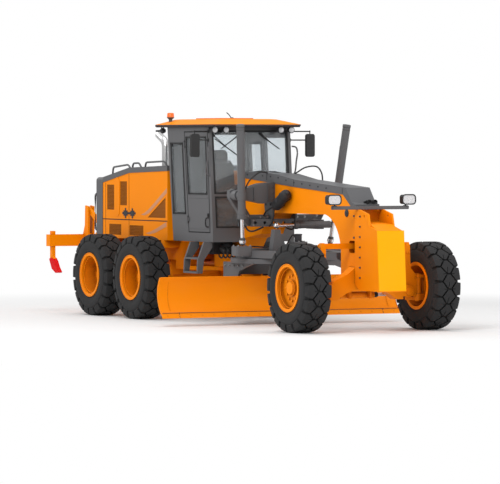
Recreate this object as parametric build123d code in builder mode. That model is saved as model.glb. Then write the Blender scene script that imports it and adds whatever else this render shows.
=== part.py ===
"""Motor grader with tandem rear axle, cab, hanging blade and rear ripper.

Frame: +X forward, +Y left, +Z up, ground at z = 0, origin under the middle of the machine.
All lengths are millimetres. Heights are above the ground, stations run along X.
"""
import os
from math import cos, radians, sin

from build123d import *

# Overall layout
front_reach = 7050.0
rear_reach = 2870.0
tandem_x = (rear_reach - front_reach) / 2
front_overhang = 890.0
wheelbase = front_reach - front_overhang
tandem_pitch = 1540.0
track_half = 1126.0
front_axle_x = tandem_x + wheelbase

# Tyres and rims
tyre_r = 678.0
tyre_w = 445.0
tread_w = 398.0
tyre_wall_r = 585.0
lug_count = 24
lug_h = 28.0
lug_share = 0.6
bead_r = 330.0
rim_flange_r = 368.0
rim_seat_r = 318.0
rim_w = 418.0
rim_wall = 12.0
seat_gap = 0.3
move_gap = 6.0
wheel_z = tyre_r
hub_r = 120.0
front_dish = 95.0
rear_dish = -60.0
dish_t = 24.0

# Articulation hinge between rear and front frame
hinge_x = tandem_x + 1450
hinge_pin_r = 45.0
hinge_boss_r = 120.0
hinge_low_z = 800.0
hinge_top_z = 1262.0
hinge_plate_t = 60.0
pin_gap = 0.3

# Rear frame and axle
rail_y = 330.0
rail_w = 110.0
rail_z = 950.0
rail_h = 285.0
rear_overhang = 910.0
rear_end_x = tandem_x - rear_reach + rear_overhang
bumper_t = 70.0
bumper_low_z = 900.0
bumper_top_z = 1360.0
hitch_x = rear_end_x - bumper_t - 95
hitch_z = 940.0
hitch_t = 30.0
hitch_open = 60.0
hitch_r = 26.0
axle_tube_r = 165.0
case_y = 745.0
case_w = 210.0
case_h = 440.0

# Hood over the engine
hood_half_w = 650.0
hood_wall = 14.0
hood_low_z = 1275.0
hood_rear_x = rear_end_x + 295
hood_bend_x = hood_rear_x + 1015
hood_front_x = tandem_x + 770
hood_rear_z = 2205.0
hood_bend_z = 2375.0
hood_front_z = 2415.0
cover_t = 88.0
surround_rear_x = rear_end_x + 55
surround_low_z = 1290.0

# Engine block
engine_l = 1350.0
engine_w = 620.0
engine_h = 820.0

# Cab
cab_half_w = 740.0
cab_wall = 45.0
cab_floor_z = 1285.0
cab_top_z = 3150.0
cab_rear_low_x = tandem_x + 1170
cab_rear_top_x = tandem_x + 945
cab_front_low_x = tandem_x + 2570
cab_front_top_x = tandem_x + 2420
cab_bend_z = 1500.0
door_rear_x = tandem_x + 1720
door_rear_top_x = tandem_x + 1550
door_front_x = tandem_x + 2480
door_front_top_x = tandem_x + 2385
door_low_z = 1430.0
door_top_z = cab_top_z - 90
door_t = 40.0
side_glass_low_z = 1750.0
side_glass_top_z = cab_top_z - 300
door_glass_low_z = 2060.0
door_glass_top_z = cab_top_z - 190
hinge_heights = (1640.0, cab_top_z - 300)
hinge_out = 16.0
hinge_knuckle_r = 15.0
hinge_rod_r = 8.0
hinge_sleeve = 60.0
hinge_block = 25.0
hinge_play = 0.5
panel_gap = 6.0
glass_t = 8.0
roof_half_w = 800.0
roof_rear_x = tandem_x + 560
roof_front_x = tandem_x + 2745
roof_t = 110.0

# Front frame (gooseneck)
frame_half_w = 200.0
frame_under_z = 1768.0
frame_low_z = 840.0
column_rear_x = front_axle_x - 360
column_front_x = front_axle_x + 110
column_low_z = 800.0
cowl_x = tandem_x + 2640
tunnel_x = tandem_x + 2250
tunnel_z = 1500.0
axle_half_l = 100.0
axle_top_z = 980.0
axle_pin_z = 820.0
axle_pin_r = 60.0
ball_x = front_axle_x - 520
ball_z = 1000.0
ball_r = 80.0
ball_pin_r = 25.0
swivel_half_h = 75.0
socket_half_w = 68.0

lamp_bar_z = 1913.0

# Counterweight
weight_half_w = 222.0
weight_low_z = 630.0
weight_face_z = 1550.0
weight_top_z = 1850.0
weight_front_x = tandem_x + front_reach
lift_hole_x = front_axle_x + 400
lift_hole_z = 1760.0
lift_hole_r = 22.0

# Front axle, wheel lean and steering
lean_half_t = 55.0
lean_y = 740.0
lean_z = 600.0
lean_bar_z = 1300.0
lean_pin_r = 42.0
kingpin_y = 950.0
kingpin_r = 32.0
ear_r = 66.0
ear_t = 50.0
ear_low_z = 506.0
ear_top_z = 804.0
steer_arm = 200.0
tie_x = front_axle_x - 225
tie_z = 545.0
tie_r = 24.0
tie_half = 722.0
steer_barrel_half = 290.0
lean_bar_pin_r = 26.0

# Saddle and lift rams
saddle_x = tandem_x + 3500
lock_bar_z = 1612.0
lock_bar_half = 580.0
lift_top = (tandem_x + 3777, 857.0, 2050.0)
lift_eye = (tandem_x + 3680, 790.0, 1300.0)
lift_barrel_r = 62.0
stub_l = 28.0
lift_rod_r = 30.0
ball_eye_r = 45.0
lift_up = 1125.0
lift_down = 370.0

# Circle-shift ram
shift_base = (tandem_x + 3985, 500.0, 1585.0)
shift_eye = (tandem_x + 3935, -330.0, 1575.0)
shift_back = 110.0
shift_ahead = 510.0
shift_post_gap = 22.0
shift_eye_r = 40.0
shift_barrel_r = 55.0
shift_rod_r = 28.0

# Drawbar and circle
circle_x = tandem_x + 3465
circle_r = 790.0
circle_bore = 665.0
tooth_count = 72
tooth_h = 26.0
tooth_w = 28.0
circle_z = 975.0
circle_t = 75.0
arm_y = 680.0
arm_t = 45.0
tilt_x = tandem_x + 3240
tilt_z = 430.0
tilt_pin_r = 32.0

# Blade
blade_half = 2135.0
blade_t = 24.0
blade_top = (tandem_x + 3472, 760.0)
blade_mid = (tandem_x + 3398, 450.0)
blade_low = (tandem_x + 3540, 185.0)
edge_low_z = 130.0
carrier_y = 600.0
rail_low_z = 316.0
rail_high_z = 620.0
low_rail_x = tilt_x + 112
high_rail_x = tilt_x + 104
side_ram_x = tilt_x + 92
side_ram_z = tilt_z + 20
side_rod_r = 18.0

# Ripper
link_x = rear_end_x - 140
link_low_z = 950.0
link_high_z = 1400.0
link_l = 650.0
link_angle = 30.0
ripper_half = 1150.0
link_y = 420.0
link_pin_r = 32.0
link_t = 50.0
cheek_y = 46.0
cheek_t = 32.0
shank_w = 58.0
shank_l = 96.0
tooth_y = 1060.0

os.makedirs("parts", exist_ok=True)


def at_y(y):
    """Plane with local x along X and local y along Z, lying at this y."""
    return Plane.XZ.offset(-y)


def at_x(x):
    """Plane with local x along Y and local y along Z, lying at this x."""
    return Plane.YZ.offset(x)


def at_z(z):
    """Plane with local x along X and local y along Y, lying at this height."""
    return Plane.XY.offset(z)


def keep(name, piece):
    """Label one finished piece and write it."""
    piece.part.label = name
    export_step(piece.part, f"parts/{name}.step")


def outline(points, mode=Mode.ADD):
    """Closed sketch face through these corner points."""
    Polygon(*points, align=None, mode=mode)


def along(start, end):
    """Plane at start whose normal points to end."""
    return Plane(origin=start, z_dir=Vector(*end) - Vector(*start))


def span(start, end):
    """Straight distance between two points."""
    return (Vector(*end) - Vector(*start)).length


# Wheels: tyre and rim, axis along Y; side is +1 left, -1 right
def tyre_ring(x, y, radius):
    """Flat-sided ring outline of the tyre's carcass on its section plane at y."""
    with BuildSketch(at_y(y)) as ring:
        with Locations((x, wheel_z)):
            RegularPolygon(radius, lug_count)
    return ring.sketch


def lug_outline(x, shift):
    """Outline round the lug tips and the notches between them, turned by shift pitches."""
    pitch = 360 / lug_count
    points = []
    for lug in range(lug_count):
        for step, radius in ((-lug_share / 2, tyre_r), (lug_share / 2, tyre_r), (0.5, tyre_r - lug_h)):
            angle = radians((lug + shift + step) * pitch)
            points.append((x + radius * sin(angle), wheel_z + radius * cos(angle)))
    return points


def make_tyre(x, side):
    """Tyre with staggered lugs on both shoulders, hollow for the rim, walls leaning in to the beads."""
    middle = side * track_half
    half_w = tyre_w / 2
    half_tread = tread_w / 2
    bead_y = rim_w / 2 - rim_wall - 1
    carcass_r = tyre_r - lug_h - 12
    recess_r = rim_flange_r + 6
    with BuildPart() as tyre:
        loft([
            tyre_ring(x, middle - half_w, tyre_wall_r - 25), tyre_ring(x, middle - half_tread, carcass_r),
            tyre_ring(x, middle + half_tread, carcass_r), tyre_ring(x, middle + half_w, tyre_wall_r - 25),
        ], ruled=True)
        for end, shift in ((-1, 0), (1, 0.5)):
            with BuildSketch(at_y(middle)):
                outline(lug_outline(x, shift))
            extrude(amount=-end * half_tread)
        for end in (-1, 1):
            loft([
                tyre_ring(x, middle + end * (half_w + 1), tyre_wall_r - 24),
                tyre_ring(x, middle + end * bead_y, recess_r),
            ], ruled=True, mode=Mode.SUBTRACT)
        with BuildSketch(at_y(middle + half_w + 1)):
            with Locations((x, wheel_z)):
                RegularPolygon(bead_r, lug_count, major_radius=False)
        extrude(amount=tyre_w + 2, mode=Mode.SUBTRACT)
    return tyre


def make_rim(x, side, front):
    """Rim with flanges, dish and hub; the dish is set outward on a front wheel."""
    y = side * track_half
    half = rim_w / 2
    dish_y = side * (front_dish if front else rear_dish)
    origin = (x, y, wheel_z)
    plane = Plane(origin=origin, x_dir=(0, 1, 0), z_dir=(1, 0, 0))
    spin = Axis(origin, (0, 1, 0))
    with BuildPart() as rim:
        with BuildSketch(plane):
            outline([
                (-half, rim_flange_r), (-half, rim_seat_r), (half, rim_seat_r), (half, rim_flange_r),
                (half - rim_wall, rim_flange_r), (half - rim_wall, bead_r - seat_gap),
                (-half + rim_wall, bead_r - seat_gap), (-half + rim_wall, rim_flange_r),
            ])
        revolve(axis=spin)
        with BuildSketch(plane):
            outline([
                (dish_y - dish_t / 2, 0), (dish_y - dish_t / 2, rim_seat_r + 4),
                (dish_y + dish_t / 2, rim_seat_r + 4), (dish_y + dish_t / 2, 0),
            ])
        revolve(axis=spin)
        hub = side * (45 if front else 70)
        with BuildSketch(plane):
            with Locations((dish_y + hub / 2, hub_r / 2)):
                Rectangle(abs(hub), hub_r)
        revolve(axis=spin)
    return rim


wheels = {
    "rear_right": (tandem_x - tandem_pitch / 2, -1, False),
    "middle_right": (tandem_x + tandem_pitch / 2, -1, False),
    "front_right": (front_axle_x, -1, True),
    "rear_left": (tandem_x - tandem_pitch / 2, 1, False),
    "middle_left": (tandem_x + tandem_pitch / 2, 1, False),
    "front_left": (front_axle_x, 1, True),
}
for place, (wheel_x, side, front) in wheels.items():
    keep(f"tyre_{place}", make_tyre(wheel_x, side))
    keep(f"rim_{place}", make_rim(wheel_x, side, front))

# Rear frame: two rails, bumper, cross tubes and the forked hinge plates
with BuildPart() as chassis_rear:
    for side in (-1, 1):
        with BuildSketch(at_z(rail_z)):
            with Locations(((rear_end_x + tandem_x + 1000) / 2, side * rail_y)):
                Rectangle(tandem_x + 1000 - rear_end_x, rail_w)
        extrude(amount=rail_h)
    for cross_x in (rear_end_x + 460, tandem_x - 700, tandem_x + 600):
        with BuildSketch(at_x(cross_x - 60)):
            with Locations((0, rail_z + rail_h / 2)):
                Rectangle(2 * rail_y, 180)
            for side in (-1, 1):
                with Locations((side * (rail_y + hood_half_w) / 2, hood_low_z - 60)):
                    Rectangle(hood_half_w - rail_y, 120)
        extrude(amount=120)
    with BuildSketch(at_x(rear_end_x - bumper_t)):
        with Locations((0, (bumper_low_z + bumper_top_z) / 2)):
            RectangleRounded(1240, bumper_top_z - bumper_low_z, 40)
    extrude(amount=surround_rear_x - rear_end_x + bumper_t)
    # towing fork between the ripper brackets
    for fork_z in (hitch_z, hitch_z + hitch_t + hitch_open):
        with BuildSketch(at_z(fork_z)):
            with Locations((rear_end_x - bumper_t - 45, 0)):
                Rectangle(100, 120)
            with Locations((hitch_x, 0)):
                Circle(60)
                Circle(hitch_r, mode=Mode.SUBTRACT)
        extrude(amount=hitch_t)
    # upright plates and pins that carry the ripper links
    for side in (-1, 1):
        for cheek in (-1, 1):
            with BuildSketch(at_y(side * link_y + cheek * cheek_y + cheek_t / 2)):
                outline([
                    (rear_end_x - bumper_t + 30, bumper_low_z), (link_x - 50, 880),
                    (link_x - 60, 960), (link_x - 60, link_high_z + 40),
                    (link_x + 10, link_high_z + 65), (rear_end_x - bumper_t + 30, link_high_z + 55),
                ])
            extrude(amount=cheek_t)
        with BuildSketch(at_y(side * link_y + cheek_y + cheek_t / 2)):
            with Locations((link_x, link_low_z), (link_x, link_high_z)):
                Circle(link_pin_r)
        extrude(amount=2 * cheek_y + cheek_t)
    for plate_z in (hinge_low_z, hinge_top_z - hinge_plate_t):
        with BuildSketch(at_z(plate_z)):
            with BuildLine():
                Polyline(
                    (hinge_x, -hinge_boss_r - 25), (tandem_x + 1000, -rail_y - 55),
                    (tandem_x + 560, -rail_y - 55), (tandem_x + 560, rail_y + 55),
                    (tandem_x + 1000, rail_y + 55), (hinge_x, hinge_boss_r + 25),
                )
                ThreePointArc(
                    (hinge_x, hinge_boss_r + 25), (hinge_x + hinge_boss_r + 25, 0),
                    (hinge_x, -hinge_boss_r - 25),
                )
            make_face()
            with Locations((hinge_x, 0)):
                Circle(hinge_pin_r + pin_gap, mode=Mode.SUBTRACT)
        extrude(amount=hinge_plate_t)
    for side in (-1, 1):
        with BuildSketch(at_y(side * (rail_y + 30) - 25)):
            outline([
                (tandem_x + 560, hinge_low_z), (tandem_x + 1000, hinge_low_z),
                (tandem_x + 1000, hinge_top_z), (tandem_x + 560, hinge_top_z),
            ])
        extrude(amount=-50)
keep("chassis_rear", chassis_rear)

# Rear axle with the two chain cases that carry the wheel pairs
case_end = tandem_pitch / 2 + 130
with BuildPart() as rear_axle:
    with BuildSketch(at_y(-case_y)):
        with Locations((tandem_x, wheel_z + 20)):
            Circle(axle_tube_r)
    extrude(amount=-2 * case_y)
    for side in (-1, 1):
        with BuildSketch(at_y(side * case_y + case_w / 2)):
            with BuildLine():
                Polyline(
                    (tandem_x - case_end + 130, wheel_z - case_h / 2 + 40),
                    (tandem_x, wheel_z - case_h / 2),
                    (tandem_x + case_end - 130, wheel_z - case_h / 2 + 40),
                )
                ThreePointArc(
                    (tandem_x + case_end - 130, wheel_z - case_h / 2 + 40),
                    (tandem_x + case_end + 50, wheel_z),
                    (tandem_x + case_end - 130, wheel_z + case_h / 2 - 40),
                )
                Polyline(
                    (tandem_x + case_end - 130, wheel_z + case_h / 2 - 40),
                    (tandem_x, wheel_z + case_h / 2),
                    (tandem_x - case_end + 130, wheel_z + case_h / 2 - 40),
                )
                ThreePointArc(
                    (tandem_x - case_end + 130, wheel_z + case_h / 2 - 40),
                    (tandem_x - case_end - 50, wheel_z),
                    (tandem_x - case_end + 130, wheel_z - case_h / 2 + 40),
                )
            make_face()
        extrude(amount=case_w)
        for end in (-1, 1):
            with BuildSketch(at_y(side * (case_y + case_w / 2))):
                with Locations((tandem_x + end * tandem_pitch / 2, wheel_z)):
                    Circle(135)
            extrude(amount=-side * (track_half + rear_dish - dish_t / 2 - seat_gap - case_y - case_w / 2))
    with BuildSketch(at_z(wheel_z + 20)):
        with Locations((tandem_x, 0)):
            Rectangle(420, 620)
    extrude(amount=rail_z - wheel_z - 20)
keep("rear_axle", rear_axle)

# Engine: one plain block on the rails
with BuildPart() as engine:
    with BuildSketch(at_z(rail_z + rail_h)):
        with Locations((tandem_x - 450, 0)):
            Rectangle(engine_l, engine_w)
    extrude(amount=engine_h)
keep("engine", engine)


# Hood shell, top cover, grilles and the radiator surround
def hood_roof(lift):
    """Roof line of the hood from rear to front, raised by lift."""
    return [
        (hood_rear_x, hood_rear_z + lift), (hood_bend_x, hood_bend_z + lift),
        (hood_front_x, hood_front_z + lift),
    ]


grille_rows = [
    # rear x, front x, low z, high z
    (hood_rear_x + 165, hood_rear_x + 435, 1750, 2170),
    (hood_rear_x + 665, hood_rear_x + 925, 1830, 2230),
    (hood_rear_x + 245, hood_rear_x + 705, 1330, 1510),
    (hood_rear_x + 1025, hood_rear_x + 1545, 1330, 1500),
]
corner_grille = [
    (tandem_x + 40, 1640), (tandem_x + 700, 1640), (tandem_x + 700, 1980),
]
with BuildPart() as hood:
    with BuildSketch(Plane.XZ):
        outline(hood_roof(0) + [(hood_front_x, hood_low_z), (hood_rear_x, hood_low_z)])
    extrude(amount=hood_half_w, both=True)
    with BuildSketch(Plane.XZ):
        outline([
            (hood_rear_x - 1, hood_rear_z - hood_wall), (hood_bend_x, hood_bend_z - hood_wall),
            (hood_front_x - hood_wall, hood_front_z - hood_wall),
            (hood_front_x - hood_wall, hood_low_z - 1), (hood_rear_x - 1, hood_low_z - 1),
        ])
    extrude(amount=hood_half_w - hood_wall, both=True, mode=Mode.SUBTRACT)
    with BuildSketch(Plane.XZ):
        for rear, front_end, low, high in grille_rows:
            with Locations(((rear + front_end) / 2, (low + high) / 2)):
                Rectangle(front_end - rear, high - low)
        outline(corner_grille)
    extrude(amount=hood_half_w + 1, both=True, mode=Mode.SUBTRACT)
keep("hood", hood)

grille_gap = 0.3
slot_pitch = 40.0
slot_h = 22.0
with BuildPart() as hood_grilles:
    for side in (-1, 1):
        plane = at_y(side * (hood_half_w - 4))
        with BuildSketch(plane):
            for rear, front_end, low, high in grille_rows:
                with Locations(((rear + front_end) / 2, (low + high) / 2)):
                    Rectangle(front_end - rear - 2 * grille_gap, high - low - 2 * grille_gap)
            with BuildLine():
                Polyline(
                    (corner_grille[0][0] + 1, corner_grille[0][1] + grille_gap),
                    (corner_grille[1][0] - grille_gap, corner_grille[1][1] + grille_gap),
                    (corner_grille[2][0] - grille_gap, corner_grille[2][1] - 1), close=True,
                )
            make_face()
            for rear, front_end, low, high in grille_rows:
                with Locations(((rear + front_end) / 2, (low + high) / 2)):
                    with GridLocations(1, slot_pitch, 1, int((high - low) / slot_pitch) - 1):
                        Rectangle(front_end - rear - 60, slot_h, mode=Mode.SUBTRACT)
        extrude(amount=side * 8)
keep("hood_grilles", hood_grilles)

with BuildPart() as hood_cover:
    with BuildSketch(Plane.XZ):
        outline(hood_roof(cover_t) + list(reversed(hood_roof(0))))
    extrude(amount=hood_half_w + 8, both=True)
keep("hood_cover", hood_cover)

with BuildPart() as radiator_surround:
    with BuildSketch(at_x(surround_rear_x)):
        with Locations((0, (surround_low_z + hood_rear_z + cover_t) / 2)):
            RectangleRounded(2 * hood_half_w + 16, hood_rear_z + cover_t - surround_low_z, 60)
        with Locations((0, (surround_low_z + hood_rear_z + cover_t) / 2)):
            RectangleRounded(2 * hood_half_w - 160, hood_rear_z + cover_t - surround_low_z - 190,
                             30, mode=Mode.SUBTRACT)
    extrude(amount=hood_rear_x - surround_rear_x)
    with BuildSketch(at_x(surround_rear_x + 60)):
        with Locations((0, (surround_low_z + hood_rear_z + cover_t) / 2)):
            Rectangle(2 * hood_half_w - 158, hood_rear_z + cover_t - surround_low_z - 188)
    extrude(amount=40)
keep("radiator_surround", radiator_surround)

# Handrails on the hood and the grab bars on the surround
rail_tube_r = 16.0
rail_runs = [
    # start x, end x, height of the middle above the cover
    (hood_rear_x + 425, hood_bend_x + 50, 85),
    (hood_bend_x + 150, hood_bend_x + 470, 70),
    (tandem_x - 60, tandem_x + 640, 85),
]


def cover_top(x):
    """Height of the cover's upper face at this station."""
    if x < hood_bend_x:
        share = (x - hood_rear_x) / (hood_bend_x - hood_rear_x)
        return hood_rear_z + cover_t + share * (hood_bend_z - hood_rear_z)
    share = (x - hood_bend_x) / (hood_front_x - hood_bend_x)
    return hood_bend_z + cover_t + share * (hood_front_z - hood_bend_z)


with BuildPart() as hood_rails:
    for side in (-1, 1):
        for start, end, rise in rail_runs:
            y = side * (hood_half_w - 45)
            foot_a = (start, y, cover_top(start) - 20)
            foot_b = (end, y, cover_top(end) - 20)
            head_a = (start + 25, y, cover_top(start) + rise)
            head_b = (end - 90, y, cover_top(end - 90) + rise)
            with BuildLine():
                FilletPolyline(foot_a, head_a, head_b, foot_b, radius=32)
            with BuildSketch(Plane(origin=foot_a, z_dir=Vector(*head_a) - Vector(*foot_a))):
                Circle(rail_tube_r)
            sweep()
        with BuildLine():
            FilletPolyline(
                (surround_rear_x, side * 560, 2010), (surround_rear_x - 80, side * 560, 2010),
                (surround_rear_x - 80, side * 560, 1400), (surround_rear_x, side * 560, 1400),
                radius=38,
            )
        with BuildSketch(Plane(origin=(surround_rear_x, side * 560, 2010), z_dir=(-1, 0, 0))):
            Circle(rail_tube_r)
        sweep()
    add(hood_cover.part, mode=Mode.SUBTRACT)
keep("hood_rails", hood_rails)

# Exhaust stack with a curved tail
exhaust_at = (tandem_x - 190, -200.0)
with BuildPart() as exhaust:
    with BuildLine():
        FilletPolyline(
            (*exhaust_at, cover_top(exhaust_at[0]) - 20), (*exhaust_at, 2890),
            (exhaust_at[0] - 260, exhaust_at[1], 3010), radius=150,
        )
    with BuildSketch(at_z(cover_top(exhaust_at[0]) - 20)):
        with Locations(exhaust_at):
            Circle(62)
    sweep()
    with BuildSketch(along((exhaust_at[0] - 260, exhaust_at[1], 3010),
                           (exhaust_at[0], exhaust_at[1], 2890))):
        Circle(56)
    extrude(amount=90, mode=Mode.SUBTRACT)
    add(hood_cover.part, mode=Mode.SUBTRACT)
keep("exhaust", exhaust)

# Ripper: parallel links, beam with two towers, and three shanks
link_dx = link_l * cos(radians(link_angle))
link_dz = link_l * sin(radians(link_angle))
beam_x = link_x - link_dx

with BuildPart() as ripper_lower_link:
    for side in (-1, 1):
        with BuildSketch(at_y(side * link_y + link_t / 2)):
            with BuildLine():
                Polyline((link_x, link_low_z + 58), (beam_x, link_low_z + link_dz + 58))
                ThreePointArc((beam_x, link_low_z + link_dz + 58),
                              (beam_x - 58, link_low_z + link_dz),
                              (beam_x, link_low_z + link_dz - 58))
                Polyline((beam_x, link_low_z + link_dz - 58), (link_x, link_low_z - 58))
                ThreePointArc((link_x, link_low_z - 58), (link_x + 58, link_low_z),
                              (link_x, link_low_z + 58))
            make_face()
            with Locations((link_x, link_low_z), (beam_x, link_low_z + link_dz)):
                Circle(link_pin_r + pin_gap, mode=Mode.SUBTRACT)
        extrude(amount=link_t)
    with BuildSketch(at_y(-link_y)):
        with Locations((link_x - link_dx / 2, link_low_z + link_dz / 2)):
            Circle(34)
    extrude(amount=-2 * link_y)
keep("ripper_lower_link", ripper_lower_link)

with BuildPart() as ripper_upper_link:
    for side in (-1, 1):
        with BuildSketch(at_y(side * link_y + link_t / 2)):
            with BuildLine():
                Polyline((link_x, link_high_z + 45), (beam_x, link_high_z + link_dz + 45))
                ThreePointArc((beam_x, link_high_z + link_dz + 45),
                              (beam_x - 45, link_high_z + link_dz),
                              (beam_x, link_high_z + link_dz - 45))
                Polyline((beam_x, link_high_z + link_dz - 45), (link_x, link_high_z - 45))
                ThreePointArc((link_x, link_high_z - 45), (link_x + 45, link_high_z),
                              (link_x, link_high_z + 45))
            make_face()
            with Locations((link_x, link_high_z), (beam_x, link_high_z + link_dz)):
                Circle(link_pin_r + pin_gap, mode=Mode.SUBTRACT)
        extrude(amount=link_t)
keep("ripper_upper_link", ripper_upper_link)

tower_pins = [(beam_x, link_low_z + link_dz), (beam_x, link_high_z + link_dz)]
beam_low_z = 1105.0
beam_top_z = 1305.0
beam_rear_x = tandem_x - rear_reach
beam_t = 140.0
shank_x = beam_rear_x + beam_t / 2
with BuildPart() as ripper_beam:
    with BuildSketch(at_x(beam_rear_x)):
        with Locations((0, (beam_low_z + beam_top_z) / 2)):
            Rectangle(2 * ripper_half, beam_top_z - beam_low_z)
    extrude(amount=beam_t)
    for side in (-1, 1):
        for cheek in (-1, 1):
            with BuildSketch(at_y(side * link_y + cheek * cheek_y + cheek_t / 2)):
                outline([
                    (beam_rear_x + 60, beam_low_z), (beam_x + 60, beam_low_z + 20),
                    (beam_x + 60, link_high_z + link_dz + 60), (beam_x - 60, link_high_z + link_dz + 75),
                    (beam_x - 75, 1460), (beam_rear_x + 60, beam_top_z),
                ])
            extrude(amount=cheek_t)
        with BuildSketch(at_y(side * link_y + cheek_y + cheek_t / 2)):
            with Locations(*tower_pins):
                Circle(link_pin_r)
        extrude(amount=2 * cheek_y + cheek_t)
    for y in (-tooth_y, 0, tooth_y):
        with BuildSketch(at_z(beam_low_z - 20)):
            with Locations((shank_x, y)):
                Rectangle(shank_l + 2 * seat_gap, shank_w + 2 * seat_gap)
        extrude(amount=beam_top_z - beam_low_z + 40, mode=Mode.SUBTRACT)
keep("ripper_beam", ripper_beam)

with BuildPart() as ripper_shanks:
    for y in (-tooth_y, 0, tooth_y):
        with BuildSketch(at_y(y + shank_w / 2)):
            outline([
                (shank_x - shank_l / 2, beam_top_z + 60), (shank_x + shank_l / 2, beam_top_z + 60),
                (shank_x + shank_l / 2, 930), (shank_x + 190, 745), (shank_x + 250, 668),
                (shank_x + 205, 662), (shank_x + 60, 740), (shank_x - shank_l / 2, 900),
            ])
        extrude(amount=shank_w)
keep("ripper_shanks", ripper_shanks)

# Front frame: hinge tail, floor section, gooseneck beam and front column
with BuildPart() as front_frame:
    with BuildSketch(Plane.XZ):
        with BuildLine():
            Polyline(
                (hinge_x + 330, frame_low_z + 30), (hinge_x + 520, frame_low_z + 60),
                (tandem_x + 2450, 1120), (tandem_x + 2650, 1350), (tandem_x + 3200, 1430),
            )
            ThreePointArc(
                (tandem_x + 3200, 1430), (tandem_x + 3330, 1600), (tandem_x + 3560, frame_under_z)
            )
            Line((tandem_x + 3560, frame_under_z), (front_axle_x - 850, frame_under_z))
            ThreePointArc(
                (front_axle_x - 850, frame_under_z), (front_axle_x - 520, 1580), (column_rear_x, 1150)
            )
            Polyline(
                (column_rear_x, 1150), (column_rear_x, column_low_z), (column_front_x, column_low_z),
                (column_front_x, 1880), (front_axle_x - 20, 1895), (front_axle_x - 290, 2085),
                (tandem_x + 4310, 2185), (cowl_x, 2310), (cowl_x, tunnel_z),
                (tunnel_x, tunnel_z), (tunnel_x, cab_floor_z),
                (hinge_x + 330, cab_floor_z), (hinge_x + 330, frame_low_z + 30),
            )
        make_face()
    extrude(amount=frame_half_w, both=True)
    with BuildSketch(at_z(hinge_low_z + hinge_plate_t + move_gap)):
        with BuildLine():
            Polyline(
                (hinge_x, hinge_boss_r), (hinge_x + 340, frame_half_w), (hinge_x + 340, -frame_half_w),
                (hinge_x, -hinge_boss_r),
            )
            ThreePointArc(
                (hinge_x, -hinge_boss_r), (hinge_x - hinge_boss_r, 0), (hinge_x, hinge_boss_r)
            )
        make_face()
    extrude(amount=hinge_top_z - hinge_low_z - 2 * hinge_plate_t - 2 * move_gap)
    with BuildSketch(at_z(hinge_low_z - 12)):
        with Locations((hinge_x, 0)):
            Circle(hinge_pin_r)
    extrude(amount=hinge_top_z - hinge_low_z + 22)
    # tunnel for the lean bar, and the pocket and pin of the front axle
    with BuildSketch(at_y(frame_half_w + 1)):
        with Locations((front_axle_x, lean_bar_z - 12)):
            RectangleRounded(210, 190, 50)
        with Locations(((front_axle_x - axle_half_l - move_gap + column_front_x + 1) / 2,
                        (column_low_z - 1 + axle_top_z + move_gap) / 2)):
            Rectangle(column_front_x + 1 - front_axle_x + axle_half_l + move_gap,
                      axle_top_z + move_gap - column_low_z + 1)
    extrude(amount=2 * frame_half_w + 2, mode=Mode.SUBTRACT)
    with BuildSketch(at_x(front_axle_x - axle_half_l - move_gap - 5)):
        with Locations((0, axle_pin_z)):
            Circle(axle_pin_r)
    extrude(amount=column_front_x - front_axle_x + axle_half_l + move_gap + 5)
    # socket of the drawbar ball
    with BuildSketch(at_x(ball_x + 12)):
        with Locations((0, ball_z)):
            Rectangle(2 * socket_half_w, 170)
    extrude(amount=column_rear_x - ball_x - 11)
    with BuildSketch(at_z(ball_z - swivel_half_h - 60)):
        with Locations((ball_x, 0)):
            Circle(ball_r + pin_gap)
    extrude(amount=2 * swivel_half_h + 120, mode=Mode.SUBTRACT)
keep("front_frame", front_frame)

# Grey covers along the top of the gooseneck, the nose cover and the lamp bar
with BuildPart() as frame_cover:
    with BuildSketch(Plane.XZ):
        outline([
            (cowl_x, 2310), (tandem_x + 4310, 2185), (front_axle_x - 290, 2085),
            (front_axle_x - 20, 1895), (column_front_x, 1880), (column_front_x, 1935),
            (front_axle_x - 10, 1965), (front_axle_x - 195, 2190), (tandem_x + 4310, 2300),
            (tandem_x + 3700, 2385), (cowl_x, 2415),
        ])
    extrude(amount=frame_half_w + 10, both=True)
    with BuildSketch(at_x(front_axle_x + 170)):
        with Locations((0, lamp_bar_z - 18)):
            Rectangle(2 * 668, 36)
    extrude(amount=48)
    with BuildSketch(at_x(column_front_x)):
        with Locations((0, lamp_bar_z - 15)):
            Rectangle(150, 30)
    extrude(amount=70)
keep("frame_cover", frame_cover)

# Counterweight with the push plate in front
with BuildPart() as counterweight:
    rear = column_front_x
    with BuildSketch(Plane.XZ):
        outline([
            (rear, weight_low_z + 110), (rear + 180, weight_low_z), (weight_front_x - 45, weight_low_z),
            (weight_front_x - 110, weight_face_z - 10), (lift_hole_x + 140, lift_hole_z - 120),
            (rear, lift_hole_z - 80),
        ])
    extrude(amount=weight_half_w - 30, both=True)
    with BuildSketch(Plane.XZ):
        outline([
            (weight_front_x, weight_low_z), (weight_front_x - 70, weight_face_z),
            (weight_front_x - 115, weight_face_z), (weight_front_x - 45, weight_low_z),
        ])
    extrude(amount=weight_half_w + 10, both=True)
    for side in (-1, 1):
        with BuildSketch(at_y(side * (weight_half_w - 15) + 15)):
            outline([
                (rear, weight_low_z + 90), (rear + 150, weight_low_z), (weight_front_x - 45, weight_low_z),
                (weight_front_x - 110, weight_face_z), (weight_front_x - 330, weight_face_z + 60),
                (weight_front_x - 380, weight_top_z - 55), (front_axle_x + 240, weight_top_z + 10),
                (rear, weight_top_z + 10),
            ])
            with Locations((lift_hole_x, lift_hole_z)):
                Circle(lift_hole_r, mode=Mode.SUBTRACT)
        extrude(amount=30)
keep("counterweight", counterweight)

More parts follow.
